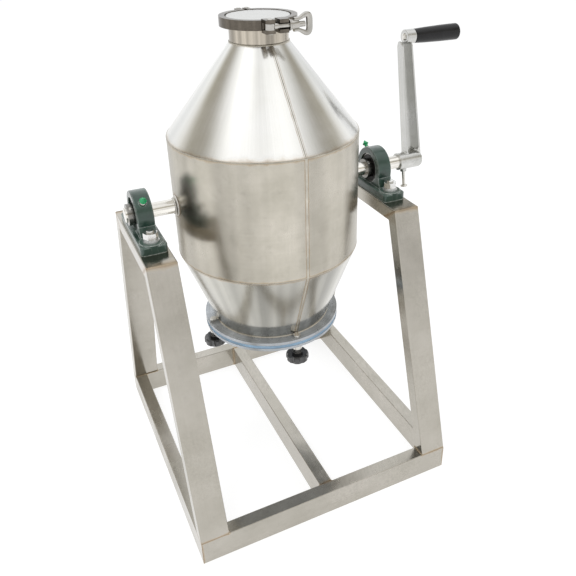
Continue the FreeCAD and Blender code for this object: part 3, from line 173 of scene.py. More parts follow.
class MixerColourSettings(bpy.types.PropertyGroup):
    housing: bpy.props.FloatVectorProperty(
        name="Housings", description="Paint of the bearing housings", subtype="COLOR", size=3,
        min=0, max=1, default=(0.020, 0.050, 0.037))
    cap: bpy.props.FloatVectorProperty(
        name="Nipple caps", description="Colour of the caps on the grease nipples",
        subtype="COLOR", size=3, min=0, max=1, default=(0.0, 0.42, 0.14))
    gasket: bpy.props.FloatVectorProperty(
        name="Bottom gasket", description="Colour of the bottom gasket", subtype="COLOR", size=3,
        min=0, max=1, default=(0.30, 0.45, 0.60))
    plastic: bpy.props.FloatVectorProperty(
        name="Knobs and grip", description="Colour of the moulded plastic", subtype="COLOR",
        size=3, min=0, max=1, default=(0.008, 0.008, 0.009))


class MixerStageSettings(bpy.types.PropertyGroup):
    focal_length: bpy.props.FloatProperty(
        name="Focal length", description="Camera lens in millimetres", min=1, default=40.96)
    floor_radius: bpy.props.FloatProperty(
        name="Floor", description="Radius of the floor", unit="LENGTH", min=1, default=9.0)
    world_light: bpy.props.FloatProperty(
        name="World light", description="Strength of the even light from all round", min=0,
        default=0.55)
    key_power: bpy.props.FloatProperty(
        name="Key lamp", description="Power of the main soft lamp", unit="POWER", min=0,
        default=16.0)


# Materials: a short way to write node graphs.

class Nodes:
    """A node tree, written as calls that return sockets."""

    def __init__(self, tree):
        self.tree = tree

    def set(self, node, socket, value):
        target = node.inputs[socket]
        if isinstance(value, bpy.types.NodeSocket):
            self.tree.links.new(value, target)
        elif target.type == "RGBA":
            target.default_value = (*value[:3], 1)
        else:
            target.default_value = value

    def add(self, kind, output=0, inputs=None, **settings):
        node = self.tree.nodes.new(kind)
        for name, value in settings.items():
            setattr(node, name, value)
        for socket, value in (inputs or {}).items():
            self.set(node, socket, value)
        return node.outputs[output]

    def end(self, kind, shader):
        """Lead a shader to the tree's output node."""
        self.set(self.tree.nodes.new(kind), 0, shader)

    def point(self, rotation=(0, 0, 0), scale=(1, 1, 1)):
        """Object coordinates, turned and then stretched."""
        place = self.add("ShaderNodeTexCoord", "Object")
        turned = self.add("ShaderNodeMapping", 0, {"Vector": place, "Rotation": rotation})
        return self.add("ShaderNodeMapping", 0, {"Vector": turned, "Scale": scale})

    def around(self, place, lines_round, lines_up, turn=0.0):
        """Coordinates round the drum's axis, for a grain that runs up its sheets."""
        x, y, z = self.parts(place)
        flat = self.add("ShaderNodeCombineXYZ", 0, {0: x, 1: y})
        unit = self.add("ShaderNodeVectorMath", 0, {0: flat}, operation="NORMALIZE")
        wide = self.add("ShaderNodeVectorMath", 0, {0: unit, 3: lines_round}, operation="SCALE")
        wide_x, wide_y, _ = self.parts(wide)
        return self.add("ShaderNodeCombineXYZ", 0, {
            0: self.math("ADD", wide_x, turn), 1: wide_y,
            2: self.math("MULTIPLY", z, lines_up)})

    def length(self, *sides):
        """The length of a line from its sides."""
        total = self.math("POWER", sides[0], 2.0)
        for side in sides[1:]:
            total = self.math("ADD", total, self.math("POWER", side, 2.0))
        return self.math("SQRT", total)

    def nearest(self, *distances):
        least = distances[0]
        for distance in distances[1:]:
            least = self.math("MINIMUM", least, distance)
        return least

    def parts(self, vector):
        node = self.tree.nodes.new("ShaderNodeSeparateXYZ")
        self.set(node, 0, vector)
        return node.outputs[0], node.outputs[1], node.outputs[2]

    def math(self, operation, first, second=0.0, clamp=False):
        return self.add("ShaderNodeMath", 0, {0: first, 1: second}, operation=operation,
                        use_clamp=clamp)

    def noise(self, vector, scale, detail=3.0, roughness=0.5):
        return self.add("ShaderNodeTexNoise", 0, {"Vector": vector, "Scale": scale,
                                                  "Detail": detail, "Roughness": roughness})

    def span(self, value, low, high, to_low, to_high):
        return self.add("ShaderNodeMapRange", 0, {0: value, 1: low, 2: high, 3: to_low,
                                                  4: to_high})

    def mix(self, factor, first, second, blend="MIX"):
        return self.add("ShaderNodeMix", 2, {0: factor, 6: first, 7: second},
                        data_type="RGBA", blend_type=blend)

    def ramp(self, factor, stops):
        node = self.tree.nodes.new("ShaderNodeValToRGB")
        self.set(node, 0, factor)
        ramp = node.color_ramp
        while len(ramp.elements) < len(stops):
            ramp.elements.new(1)
        for element, (position, colour) in zip(ramp.elements, stops):
            element.position = position
            element.color = (*colour, 1)
        return node.outputs[0]

    def rays(self, *kinds):
        """A socket that is 1 for rays of the named kinds."""
        first, *others = kinds
        light_path = self.tree.nodes.new("ShaderNodeLightPath")
        total = light_path.outputs[first]
        for kind in others:
            total = self.math("ADD", total, light_path.outputs[kind], clamp=True)
        return total


class Graph(Nodes):
    """One material's node tree round its Principled shader."""

    def __init__(self, name, **inputs):
        self.material = bpy.data.materials.new(name)
        self.material.use_nodes = True
        super().__init__(self.material.node_tree)
        self.shader = self.tree.nodes["Principled BSDF"]
        self.finish(**inputs)

    def bump(self, height, distance, strength=1.0):
        normal = self.add("ShaderNodeBump", 0, {"Height": height, "Distance": distance,
                                                "Strength": strength})
        self.set(self.shader, "Normal", normal)

    def finish(self, **inputs):
        for socket, value in inputs.items():
            self.set(self.shader, socket.replace("_", " "), value)
        return self.material


def grey(value):
    return (value, value, value)


def scaled(colour, factor):
    return tuple(min(1.0, channel * factor) for channel in colour)


def steel(name, colour, roughness, grain=(0, 0, 0), grain_scale=(6, 6, 900), heat=None,
          smudge=0.12, scratch=0.1, round_grain=None, reach=8 * MM, reflection_bands=None, patches=0.0,
          welded=None, drawn=0.0, rings=0.0, metal=1.0):
    """Stainless steel with a grain, smudges, faint wear and heat tint by its welds.

    round_grain gives a grain that runs up a turned sheet instead: lines round it, lines up it.
    reflection_bands are painted reflections: broad soft stripes, lighter and darker, in the
    colour of such a sheet, all round it: how many, how deep, and turned by how much. Their
    depth and turn were set against the photograph.
    patches are crossed marks of hand polishing. welded marks out rough places, from 0 to 1.
    drawn spreads reflections sideways round the drum's axis, as an upright grain does.
    rings is the strength of fine turned lines. Below 1, metal leaves some of a dull zinc white.
    """
    graph = Graph(name, Metallic=metal, Anisotropic=drawn)
    if drawn:
        graph.set(graph.shader, "Tangent", graph.add(
            "ShaderNodeTangent", 0, direction_type="RADIAL", axis="Z"))
    place = graph.point()
    if round_grain:
        fine = graph.noise(graph.around(place, *round_grain), 1.0, 4.0, 0.65)
    else:
        fine = graph.noise(graph.point(grain, grain_scale), 1.0, 4.0, 0.6)
    broad = graph.noise(place, 14.0, 4.0, 0.6)
    marks = graph.noise(place, 75.0, 3.0, 0.7)
    shade = graph.math("MULTIPLY", graph.span(broad, 0.3, 0.7, 1 - smudge, 1 + smudge * 0.5),
                       graph.span(fine, 0.3, 0.7, 1 - scratch * 0.5, 1 + scratch * 0.4))
    shade = graph.math("MULTIPLY", shade, graph.span(marks, 0.55, 0.75, 1.0, 1 - smudge * 0.4))
    rough = graph.span(fine, 0.25, 0.75, roughness * 0.92, roughness * 1.1)
    rough = graph.math("ADD", rough, graph.span(broad, 0.35, 0.75, -0.03, 0.06))
    # Painted reflections: broad soft stripes round the sheet, lighter and darker, put in its
    # colour.
    if reflection_bands is not None:
        count, share, turn = reflection_bands
        painted_band = graph.noise(graph.around(place, count, 1.6, turn), 1.0, 2.0, 0.55)
        shade = graph.math("MULTIPLY", shade, graph.span(painted_band, 0.34, 0.66, 1 - share,
                                                         1 + share * 0.4))
    if rings:
        x, y, z = graph.parts(place)
        lines = graph.noise(graph.add("ShaderNodeCombineXYZ", 0, {
            0: graph.length(x, y), 2: z}), 380.0, 3.0, 0.7)
        shade = graph.math("MULTIPLY", shade, graph.span(lines, 0.3, 0.7, 1 - rings, 1 + rings))
    if patches:
        crossed = graph.noise(graph.point((0.6, 0.5, 0.45), (320, 26, 320)), 1.0, 2.0)
        where = graph.span(graph.noise(place, 11.0, 2.0), 0.47, 0.6, 0.0, patches)
        lift = graph.math("MULTIPLY", where, graph.span(crossed, 0.3, 0.7, -0.5, 1.0))
        shade = graph.math("ADD", shade, lift)
        rough = graph.math("ADD", rough, where)
    base = graph.mix(1.0, colour, graph.add("ShaderNodeCombineColor", 0, {
        0: shade, 1: shade, 2: graph.math("MULTIPLY", shade, graph.span(
            broad, 0.3, 0.7, 0.97, 1.0))}), "MULTIPLY")
    if heat is not None:
        tint = bpy.context.scene.mixer_steel.tint
        wander = graph.span(graph.noise(place, 70.0, 3.0), 0.25, 0.75, 0.6, 1.9)
        distance = graph.math("MULTIPLY", heat(graph, place), wander)
        near = graph.math("DIVIDE", distance, reach, clamp=True)
        glow = graph.ramp(near, [
            (0.0, scaled(tint, 0.8)), (0.2, tint), (0.45, (0.55, 0.45, 0.31)),
            (0.75, (0.50, 0.50, 0.53)), (1.0, tuple(colour))])
        amount = graph.ramp(near, [
            (0.0, grey(0.85)), (0.2, grey(0.45)), (0.45, grey(0.16)), (0.8, grey(0.07)),
            (1.0, grey(0.0))])
        base = graph.mix(amount, base, glow)
        rough = graph.math("ADD", rough, graph.math("MULTIPLY", amount, 0.1))
    if welded is not None:
        mask = welded(graph, place)
        base = graph.mix(mask, base, graph.mix(graph.span(marks, 0.35, 0.65, 0.0, 1.0),
                                               (0.50, 0.45, 0.38), (0.80, 0.78, 0.74)))
        rough = graph.math("ADD", rough, graph.math("MULTIPLY", mask, 0.22))
    graph.bump(fine, 0.00002, 0.1 + scratch * 0.6)
    return graph.finish(Base_Color=base, Roughness=rough)


def plastic(name, colour, roughness, grain_scale=900.0, depth=0.00004, coat=0.0, gloss=0.5):
    """Moulded plastic with a fine grain and slight wear."""
    graph = Graph(name, Coat_Weight=coat, Coat_Roughness=0.15, Specular_IOR_Level=gloss)
    place = graph.point()
    grain = graph.noise(place, grain_scale, 2.0)
    broad = graph.noise(place, 45.0, 4.0, 0.6)
    rubbed = graph.span(graph.noise(place, 130.0, 5.0, 0.75), 0.6, 0.72, 0.0, 0.5)
    base = graph.mix(graph.span(broad, 0.35, 0.75, 0.0, 1.0), scaled(colour, 0.85),
                     tuple(channel * 1.3 + 0.003 for channel in colour))
    base = graph.mix(rubbed, base, tuple(channel * 1.4 + 0.008 for channel in colour))
    rough = graph.math("ADD", graph.span(broad, 0.3, 0.7, roughness - 0.06, roughness + 0.08),
                       graph.span(grain, 0.3, 0.7, -0.03, 0.03))
    rough = graph.math("ADD", rough, graph.math("MULTIPLY", rubbed, 0.1))
    graph.bump(grain, depth, 0.6)
    return graph.finish(Base_Color=base, Roughness=rough)


def cast_paint(name, colour):
    """Gloss paint on a sand-cast surface, chipped on edges; level tops paler: worn paint and a
    painted sheen.
    """
    graph = Graph(name, Coat_Weight=0.6, Coat_Roughness=0.12, Specular_IOR_Level=0.5)
    place = graph.point()
    cast = graph.noise(place, 420.0, 3.0, 0.6)
    swell = graph.noise(place, 90.0, 2.0)
    broad = graph.noise(place, 35.0, 4.0, 0.6)
    fine = graph.noise(place, 260.0, 5.0, 0.75)
    rounded = graph.add("ShaderNodeBevel", 0, {"Radius": 0.0016}, samples=6)
    flat = graph.add("ShaderNodeNewGeometry", "Normal")
    facing = graph.add("ShaderNodeVectorMath", 1, {0: rounded, 1: flat},
                       operation="DOT_PRODUCT")
    edge = graph.span(facing, 0.999, 0.95, 0.0, 1.0)
    worn = graph.math("MULTIPLY", edge, graph.span(fine, 0.36, 0.58, 0.2, 1.0))
    base = graph.mix(graph.span(broad, 0.3, 0.7, 0.0, 1.0), scaled(colour, 0.8),
                     scaled(colour, 1.6))
    base = graph.mix(graph.span(fine, 0.66, 0.76, 0.0, 0.35), base, WORN_PAINT)
    # Level tops painted paler: partly worn paint, partly a painted sheen where light catches
    # them.
    _, _, upward = graph.parts(graph.add("ShaderNodeTexCoord", "Normal"))
    top_wear_and_sheen = graph.math("MULTIPLY", graph.span(upward, 0.93, 0.99, 0.0, 0.5),
                         graph.span(broad, 0.4, 0.6, 0.1, 1.0))
    base = graph.mix(top_wear_and_sheen, base, TOP_WEAR_AND_SHEEN)
    base = graph.mix(worn, base, CHIPPED_EDGE)
    rough = graph.math("ADD", graph.span(broad, 0.3, 0.7, 0.28, 0.42),
                       graph.math("MULTIPLY", worn, 0.1))
    graph.bump(graph.math("ADD", cast, graph.math("MULTIPLY", swell, 1.8)), 0.0004, 0.5)
    return graph.finish(Base_Color=base, Roughness=rough)


# Distances from welds, for the heat tint. Each returns a socket in metres.

def drum_heat(graph, place):
    """Distance from the drum's round seams, its long seam in front and its shafts."""
    x, y, z = graph.parts(place)
    rounds = [graph.math("ABSOLUTE", graph.math("SUBTRACT", z, height))
              for height in (UPPER_SEAM, LOWER_SEAM)]
    top = graph.math("MULTIPLY", graph.math("SUBTRACT", CONE_TOP, z), 1.6)
    behind = graph.math("GREATER_THAN", y, 0.0)
    along = graph.math("ADD", x, graph.math("MULTIPLY", y, math.tan(SEAM_TURN)))
    edge = graph.math("ABSOLUTE", graph.math("SUBTRACT", graph.math("ABSOLUTE", along), 2 * MM))
    cone = graph.math("GREATER_THAN", z, UPPER_SEAM)
    edge = graph.math("MULTIPLY", edge, graph.math("ADD", 3.0, graph.math("MULTIPLY", cone, 4.0)))
    long_seam = graph.math("ADD", edge, behind)
    across = graph.length(y, graph.math("SUBTRACT", z, AXLE.z))
    collar = graph.math("MULTIPLY", graph.math("SUBTRACT", across, COLLAR_RADIUS), 0.7)
    return graph.nearest(*rounds, top, long_seam, graph.math("ABSOLUTE", collar))


def collar_mask(graph, place):
    """The weld collars of the shafts, where they meet the drum."""
    x, _, _ = graph.parts(place)
    return graph.math("LESS_THAN", graph.math("ABSOLUTE", x), DRUM_RADIUS + COLLAR_REACH)


def past(graph, value, limit):
    """How far a value falls short of a limit, or nothing."""
    return graph.math("MAXIMUM", graph.math("SUBTRACT", limit, value), 0.0)


def rail_heat(graph, place):
    """Distance from the base's mitres, the feet of the legs and the middle rail's ends."""
    x, y, z = graph.parts(place)
    x, y = graph.math("ABSOLUTE", x), graph.math("ABSOLUTE", y)
    mitre = graph.math("SUBTRACT", graph.math("SUBTRACT", BASE_HALF_WIDTH, x),
                       graph.math("SUBTRACT", BASE_HALF_DEPTH, y))
    mitre = graph.math("ADD", graph.math("MULTIPLY", graph.math("ABSOLUTE", mitre), 1.4),
                       past(graph, x, BASE_HALF_WIDTH - 2 * TUBE_THICK))
    foot = graph.length(past(graph, x, BEAM_X - TUBE_HALF),
                        past(graph, y, BASE_HALF_DEPTH - TUBE_THICK),
                        graph.math("SUBTRACT", RAIL_TOP, z))
    end = graph.length(graph.math("MAXIMUM", graph.math("SUBTRACT", x, TUBE_THICK / 2), 0.0),
                       graph.math("SUBTRACT", y, BASE_HALF_DEPTH - TUBE_THICK))
    return graph.nearest(mitre, graph.math("MULTIPLY", foot, 1.5), end)


def trestle_heat(graph, place):
    """Distance from the foot of a leg and from its mitre with the beam."""
    x, y, z = graph.parts(place)
    run, rise = BASE_HALF_DEPTH - BEAM_HALF, BEAM_TOP - RAIL_TOP
    half_turn = (math.atan2(rise, run) - math.pi) / 2
    out = graph.math("SUBTRACT", graph.math("ABSOLUTE", y), BEAM_HALF)
    up = graph.math("SUBTRACT", z, BEAM_TOP)
    mitre = graph.math("ABSOLUTE", graph.math("ADD", graph.math(
        "MULTIPLY", out, math.cos(half_turn)), graph.math("MULTIPLY", up, math.sin(half_turn))))
    return graph.nearest(graph.math("MULTIPLY", mitre, 0.8),
                         graph.math("MULTIPLY", graph.math("SUBTRACT", z, RAIL_TOP), 1.3))


# Meshes.

def new_piece(name, mesh, body, material, replaced=()):
    """Put a finished mesh in the scene, on a body and with its finish."""
    piece = bpy.data.objects.new(name, mesh)
    bpy.context.scene.collection.objects.link(piece)
    mesh.materials.append(material)
    for polygon in mesh.polygons:
        polygon.use_smooth = True
    mesh.set_sharp_from_angle(angle=math.radians(35))
    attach(piece, body)
    if replaced:
        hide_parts(*replaced)
    return piece


def finish_nodes(material, *names):
    """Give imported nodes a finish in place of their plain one."""
    for name in names:
        NODES[name].data.materials.clear()
        NODES[name].data.materials.append(material)


def mesh_from(build, name):
    """Run a function that fills a bmesh, and return the mesh."""
    cage = bmesh.new()
    build(cage)
    bmesh.ops.recalc_face_normals(cage, faces=cage.faces)
    mesh = bpy.data.meshes.new(name)
    cage.to_mesh(mesh)
    cage.free()
    return mesh


def skin(cage, rings, closed):
    """Join rings of points, in order, with faces. An open row of rings gets end faces."""
    loops = [[cage.verts.new(point) for point in ring] for ring in rings]
    count = len(loops[0])
    pairs = list(zip(loops, loops[1:]))
    if closed:
        pairs.append((loops[-1], loops[0]))
    for first, second in pairs:
        for index in range(count):
            after = (index + 1) % count
            cage.faces.new((first[index], first[after], second[after], second[index]))
    if not closed:
        cage.faces.new(loops[0])
        cage.faces.new(loops[-1])


def circle(count):
    """The cosine and sine of evenly spaced turns."""
    turns = [FULL_TURN * step / count for step in range(count)]
    return [(math.cos(turn), math.sin(turn)) for turn in turns]


def heading(path, index, closed=False):
    """The direction of a path at one of its points."""
    before = path[index - 1] if closed or index else path[index]
    after = path[(index + 1) % len(path)] if closed or index < len(path) - 1 else path[index]
    return (after - before).normalized()


def tube(cage, path, radius_at, sides=8, closed=False):
    """A round bar along a path. radius_at gives its radius at each point's number."""
    rings = []
    guide = None
    for index, point in enumerate(path):
        along = heading(path, index, closed)
        if guide is None:
            guide = along.orthogonal().normalized()
        guide = (guide - along * guide.dot(along)).normalized()
        side = along.cross(guide)
        radius = radius_at(index)
        rings.append([point + (guide * across + side * up) * radius
                      for across, up in circle(sides)])
    skin(cage, rings, closed)


def straight(first, last, step):
    """Points from one place to another, a step apart."""
    first, last = Vector(first), Vector(last)
    count = max(2, round((last - first).length / step))
    return [first.lerp(last, index / count) for index in range(count + 1)]


def ripple_turn(path, closed):
    """How far the ripples of a weld turn from one point of its path to the next."""
    turn = FULL_TURN * (path[1] - path[0]).length / bpy.context.scene.mixer_weld.pitch
    if closed:
        turn = FULL_TURN * round(turn * len(path) / FULL_TURN) / len(path)
    return turn


def bead(cage, path, closed=False, size=1.0):
    """A round weld bead along a path, with ripples and slight unevenness."""
    radius = bpy.context.scene.mixer_weld.bead * size
    step = (path[1] - path[0]).length
    ripple = ripple_turn(path, closed)

    def radius_at(index):
        slow = math.sin(index * step * 310) * math.sin(index * step * 127 + 1.3)
        return radius * (1 + 0.09 * math.sin(index * ripple) + 0.14 * slow)

    tube(cage, path, radius_at, 8, closed)


def seam(cage, path, outward, width, height, closed=False, ripple=0.1):
    """A low, wide seam. outward gives the direction off the sheet at each point's number."""
    step = (path[1] - path[0]).length
    turns = ripple_turn(path, closed)
    rings = []
    for index, point in enumerate(path):
        off = outward(index)
        side = heading(path, index, closed).cross(off).normalized()
        slow = math.sin(index * step * 210 + 0.7) * math.sin(index * step * 83)
        swell = 1 + ripple * math.sin(index * turns) + 0.1 * slow
        rings.append([point + side * (across * width / 2 * (1 + 0.12 * slow))
                      + off * (up * height * swell) for across, up in circle(10)])
    skin(cage, rings, closed)


def lathe(cage, profile, matrix, steps, closed=False):
    """Turn a profile of radius and height round its own upright axis, and place it."""
    rings = [[matrix @ Vector((radius * across, radius * up, height))
              for across, up in circle(steps)] for radius, height in profile]
    skin(cage, rings, closed)


def smooth(points, runs=6):
    """A smooth line through points."""
    line = []
    for index in range(len(points) - 1):
        before = points[max(index - 1, 0)]
        start, end = points[index], points[index + 1]
        after = points[min(index + 2, len(points) - 1)]
        for run in range(runs):
            share = run / runs
            line.append(0.5 * (2 * start + (end - before) * share
                               + (2 * before - 5 * start + 4 * end - after) * share ** 2
                               + (3 * start - before - 3 * end + after) * share ** 3))
    return line + [points[-1]]


def ring_path(radius, height, step):
    """A level ring round the drum's axis."""
    return [Vector((radius * across, radius * up, height))
            for across, up in circle(round(FULL_TURN * radius / step))]


def ring_seam(cage, radius, height, width, proud, slope, ripple=0.1, step=1.0 * MM):
    """A seam round the drum. slope tips its outward side up from level, in radians."""
    path = ring_path(radius, height, step)

    def outward(index):
        level = Vector((path[index].x, path[index].y, 0)).normalized()
        return level * math.cos(slope) + Vector((0, 0, math.sin(slope)))

    seam(cage, path, outward, width, proud, True, ripple)


def shaft_ring(x, radius, step):
    """A ring round the shafts' axis."""
    return [Vector((x, radius * across, AXLE.z + radius * up))
            for across, up in circle(round(FULL_TURN * radius / step))]


def bead_step():
    """The distance between points along a bead, four to a ripple."""
    return bpy.context.scene.mixer_weld.pitch / 4


# Operators, one for each piece or group of like pieces.

class MIXER_OT_stand(bpy.types.Operator):
    """Finish the stand's tubes and lay the welds between them"""
    bl_idname = "mixer.stand"
    bl_label = "Stand"

    def execute(self, context):
        settings = context.scene.mixer_steel
        slant = math.atan2(BASE_HALF_DEPTH - BEAM_HALF, BEAM_TOP - RAIL_TOP)
        runs = {
            "tube_along_width": ((0, 0, 0), (4, 900, 900), rail_heat,
                                 ("front_rail", "back_rail")),
            "tube_along_depth": ((0, 0, 0), (900, 4, 900), rail_heat,
                                 ("left_rail", "right_rail", "middle_rail")),
            "tube_beams": ((0, 0, 0), (900, 4, 900), trestle_heat, ("left_beam", "right_beam")),
            "tube_front_legs": ((slant, 0, 0), (900, 900, 4), trestle_heat,
                                ("front_left_leg", "front_right_leg")),
            "tube_back_legs": ((-slant, 0, 0), (900, 900, 4), trestle_heat,
                               ("back_left_leg", "back_right_leg")),
        }
        for name, (turn, stretch, heat, nodes) in runs.items():
            finish_nodes(steel(name, settings.tube, settings.roughness, turn, stretch, heat,
                               smudge=0.14, scratch=0.06, reach=9 * MM,
                               patches=0.12 if heat is rail_heat else 0.05), *nodes)
        weld = steel("stand_weld", STAND_WELD, 0.24, smudge=0.35,
                     grain_scale=(500, 500, 500))
        new_piece("stand_welds", mesh_from(self.build, "stand_welds"), "frame",
                  weld)
        return {"FINISHED"}

    def build(self, cage):
        """Beads round the feet of the legs and across the ends of the middle rail."""
        step = bead_step()
        inner = BASE_HALF_DEPTH - FOOT_DEPTH
        for side in (-1, 1):
            for end in (-1, 1):
                left = side * BEAM_X - TUBE_HALF
                right = side * BEAM_X + TUBE_HALF
                y = end * inner
                bead(cage, straight((left, y, RAIL_TOP), (right, y, RAIL_TOP), step))
                inward = left if side > 0 else right
                bead(cage, straight((inward, y, RAIL_TOP),
                                    (inward, end * BASE_HALF_DEPTH, RAIL_TOP), step))
        for end in (-1, 1):
            y = end * (BASE_HALF_DEPTH - TUBE_THICK)
            for x in (-TUBE_THICK / 2, TUBE_THICK / 2):
                bead(cage, straight((x, y, 1 * MM), (x, y, RAIL_TOP - 1 * MM), step))
            tilt = Vector((0, end * 0.38, 0.92))
            y, z = end * (BEAM_HALF - 0.3 * MM), BEAM_TOP - 0.35 * MM
            for side in (-1, 1):
                left = side * BEAM_X - TUBE_HALF + 1 * MM
                path = straight((left, y, z), (left + 2 * TUBE_HALF - 2 * MM, y, z), step)
                seam(cage, path, lambda index: tilt, 3.0 * MM, 0.35 * MM, False, 0.3)


class MIXER_OT_drum(bpy.types.Operator):
    """Finish the drum's sheets and lay its seams"""
    bl_idname = "mixer.drum"
    bl_label = "Drum"

    def execute(self, context):
        settings = context.scene.mixer_steel
        # The stripes round the cylinder and both cones are painted reflections.
        cylinder = steel("rolled_cylinder", settings.sheet, settings.roughness + 0.06,
                         round_grain=(90, 10), heat=drum_heat, smudge=0.2, scratch=0.05,
                         reflection_bands=(2.8, 0.22, 1.3), drawn=0.8, rings=0.02)
        cone = steel("polished_cone", settings.cone, settings.roughness,
                     round_grain=(60, 4), heat=drum_heat, smudge=0.05, scratch=0.06,
                     reflection_bands=(3.0, 0.08, 1.0), drawn=0.4)
        # The cone under the drum: painted shade, as a darker copy of the upper cone's steel.
        shaded_lower = steel("shaded_lower_cone", SHADED_LOWER_STEEL, settings.roughness,
                      round_grain=(60, 5), heat=drum_heat, smudge=0.08, scratch=0.06,
                      reflection_bands=(3.4, 0.34, 12.3), drawn=0.6)
        finish_nodes(cylinder, "drum_cylinder", "left_pad", "right_pad")
        finish_nodes(cone, "upper_cone")
        finish_nodes(shaded_lower, "lower_cone")
        weld = steel("drum_weld", settings.sheet, 0.28, smudge=0.3,
                     grain_scale=(60, 60, 60), scratch=0.4)
        new_piece("drum_seams", mesh_from(self.build, "drum_seams"), "drum", weld)
        return {"FINISHED"}

    def build(self, cage):
        """Round seams above and below the cylinder, and the long seam in front."""
        ring_seam(cage, DRUM_RADIUS - 0.35 * MM, UPPER_SEAM, 1.8 * MM, 0.5 * MM, 0.4)
        ring_seam(cage, DRUM_RADIUS - 0.35 * MM, LOWER_SEAM, 1.8 * MM, 0.5 * MM, -0.4)
        ring_seam(cage, NECK_RADIUS + 0.1 * MM, CONE_TOP, 2.6 * MM, 0.9 * MM, 0.7, 0.2,
                  0.5 * MM)
        ring_seam(cage, OUTLET_RADIUS + 0.2 * MM, CONE_FOOT + 0.2 * MM, 3.2 * MM, 1.0 * MM, 0.8,
                  0.15, 0.6 * MM)
        ahead = Vector((math.sin(SEAM_TURN), -math.cos(SEAM_TURN), 0))
        for (first, last, width) in (
                ((NECK_RADIUS, CONE_TOP), (DRUM_RADIUS, UPPER_SEAM), 1.3 * MM),
                ((DRUM_RADIUS, UPPER_SEAM), (DRUM_RADIUS, LOWER_SEAM), 3.6 * MM),
                ((DRUM_RADIUS, LOWER_SEAM), (OUTLET_RADIUS, CONE_FOOT), 2.6 * MM)):
            ends = [ahead * radius + Vector((0, 0, height)) for radius, height in (first, last)]
            run = (ends[1] - ends[0]).normalized()
            off = (ahead - run * ahead.dot(run)).normalized()
            seam(cage, straight(*ends, 0.7 * MM), lambda index: off, width, 0.5 * MM, False,
                 0.04)


class MIXER_OT_neck(bpy.types.Operator):
    """Finish the neck, its gasket and the cap"""
    bl_idname = "mixer.neck"
    bl_label = "Neck and cap"

    def execute(self, context):
        settings = context.scene.mixer_steel
        # The stripes round the neck are painted reflections.
        turned = steel("turned_neck", TURNED_NECK, 0.16, smudge=0.06,
                       round_grain=(30, 900), scratch=0.12, reflection_bands=(3.4, 0.45, 9.1))
        cap = steel("brushed_cap", scaled(settings.cone, 0.74), 0.24,
                    grain_scale=(12, 900, 900), smudge=0.08, scratch=0.12)
        finish_nodes(turned, "neck_ferrule")
        finish_nodes(cap, "top_cap")
        finish_nodes(plastic("silicone_top", CLEAR_SILICONE, 0.5), "top_gasket")
        return {"FINISHED"}


class MIXER_OT_clamp(bpy.types.Operator):
    """Finish the clamp and its bolt"""
    bl_idname = "mixer.clamp"
    bl_label = "Clamp"

    def execute(self, context):
        settings = context.scene.mixer_steel
        # The stripes round the clamp are painted reflections.
        cast = steel("cast_clamp", DARK_CLAMP, 0.24,
                     round_grain=(14, 700), smudge=0.2, scratch=0.3, reflection_bands=(4.0, 0.35, 5.1))
        bright = steel("bright_clamp", scaled(settings.turned, 0.98), 0.2,
                       grain_scale=(200, 200, 200), smudge=0.3, scratch=0.2)
        finish_nodes(cast, "clamp_left_half", "clamp_right_half")
        finish_nodes(bright, "clamp_link", "clamp_link_pins", "clamp_bolt_pin", "clamp_bolt")
        new_piece("wing_nut_cast", mesh_from(self.build, "wing_nut_cast"), "wing_nut",
                  bright, ("wing_nut",))
        return {"FINISHED"}

    def build(self, cage):
        """Wing nut: a turned barrel with a round-cornered loop on its end."""
        lying = Matrix.Translation(NUT_SEAT) @ Matrix.Rotation(math.pi / 2, 4, "Y")
        barrel = [(radius * MM, height * MM) for radius, height in (
            (3.6, 0), (6.4, 0), (6.7, 0.3), (6.7, 1.7), (6.4, 2.0), (5.75, 2.6), (5.6, 11.6),
            (5.0, 12.6), (3.6, 12.8))]
        lathe(cage, barrel, lying, 40, closed=True)
        half = [Vector(point) for point in (
            (6.5, 6.2), (10.5, 6.2), (14.5, 7.0), (19.0, 9.2), (23.0, 10.6), (25.9, 9.7),
            (27.1, 7.0), (27.4, 3.4))]
        points = half + [Vector((27.4, 0))] + [Vector((x, -z)) for x, z in reversed(half)]
        path = [NUT_SEAT + Vector((point.x, 0, point.y)) * MM for point in smooth(points, 5)]
        rings = []
        for index, point in enumerate(path):
            side = heading(path, index).cross(Vector((0, 1, 0)))
            half_wide = (2.1 + 1.8 * max(0, (point.x - NUT_SEAT.x) / MM - 14) / 13.4) * MM
            rings.append([
                point + side * (math.copysign(abs(wide) ** 0.75, wide) * half_wide)
                + Vector((0, math.copysign(abs(thick) ** 0.75, thick) * 3.1 * MM, 0))
                for wide, thick in circle(16)])
        skin(cage, rings, closed=False)


class MIXER_OT_outlet(bpy.types.Operator):
    """Finish the bottom flange, gasket, lid, studs and sleeves"""
    bl_idname = "mixer.outlet"
    bl_label = "Outlet"

    def execute(self, context):
        settings = context.scene.mixer_steel
        colours = context.scene.mixer_colour
        # The stripes round the flange and lid are painted reflections.
        turned = steel("turned_flange", TURNED_FLANGE, 0.26, smudge=0.1,
                       grain_scale=(60, 60, 60), scratch=0.06, reflection_bands=(5.0, 0.2, 4.4),
                       rings=0.16, metal=0.7)
        finish_nodes(turned, "bottom_flange", "bottom_lid")
        finish_nodes(steel("bright_studs", scaled(settings.turned, 1.2), 0.22,
                           grain_scale=(300, 300, 300)), "lid_studs", "stud_sleeves")
        finish_nodes(plastic("silicone_blue", colours.gasket, 0.45), "bottom_gasket")
        return {"FINISHED"}


class MIXER_OT_knobs(bpy.types.Operator):
    """Finish the star knobs"""
    bl_idname = "mixer.knobs"
    bl_label = "Star knobs"

    def execute(self, context):
        black = plastic("moulded_knob", context.scene.mixer_colour.plastic, 0.2, 500.0,
                        coat=0.6, gloss=0.8)
        finish_nodes(black, "knob_front", "knob_right", "knob_back", "knob_left")
        return {"FINISHED"}


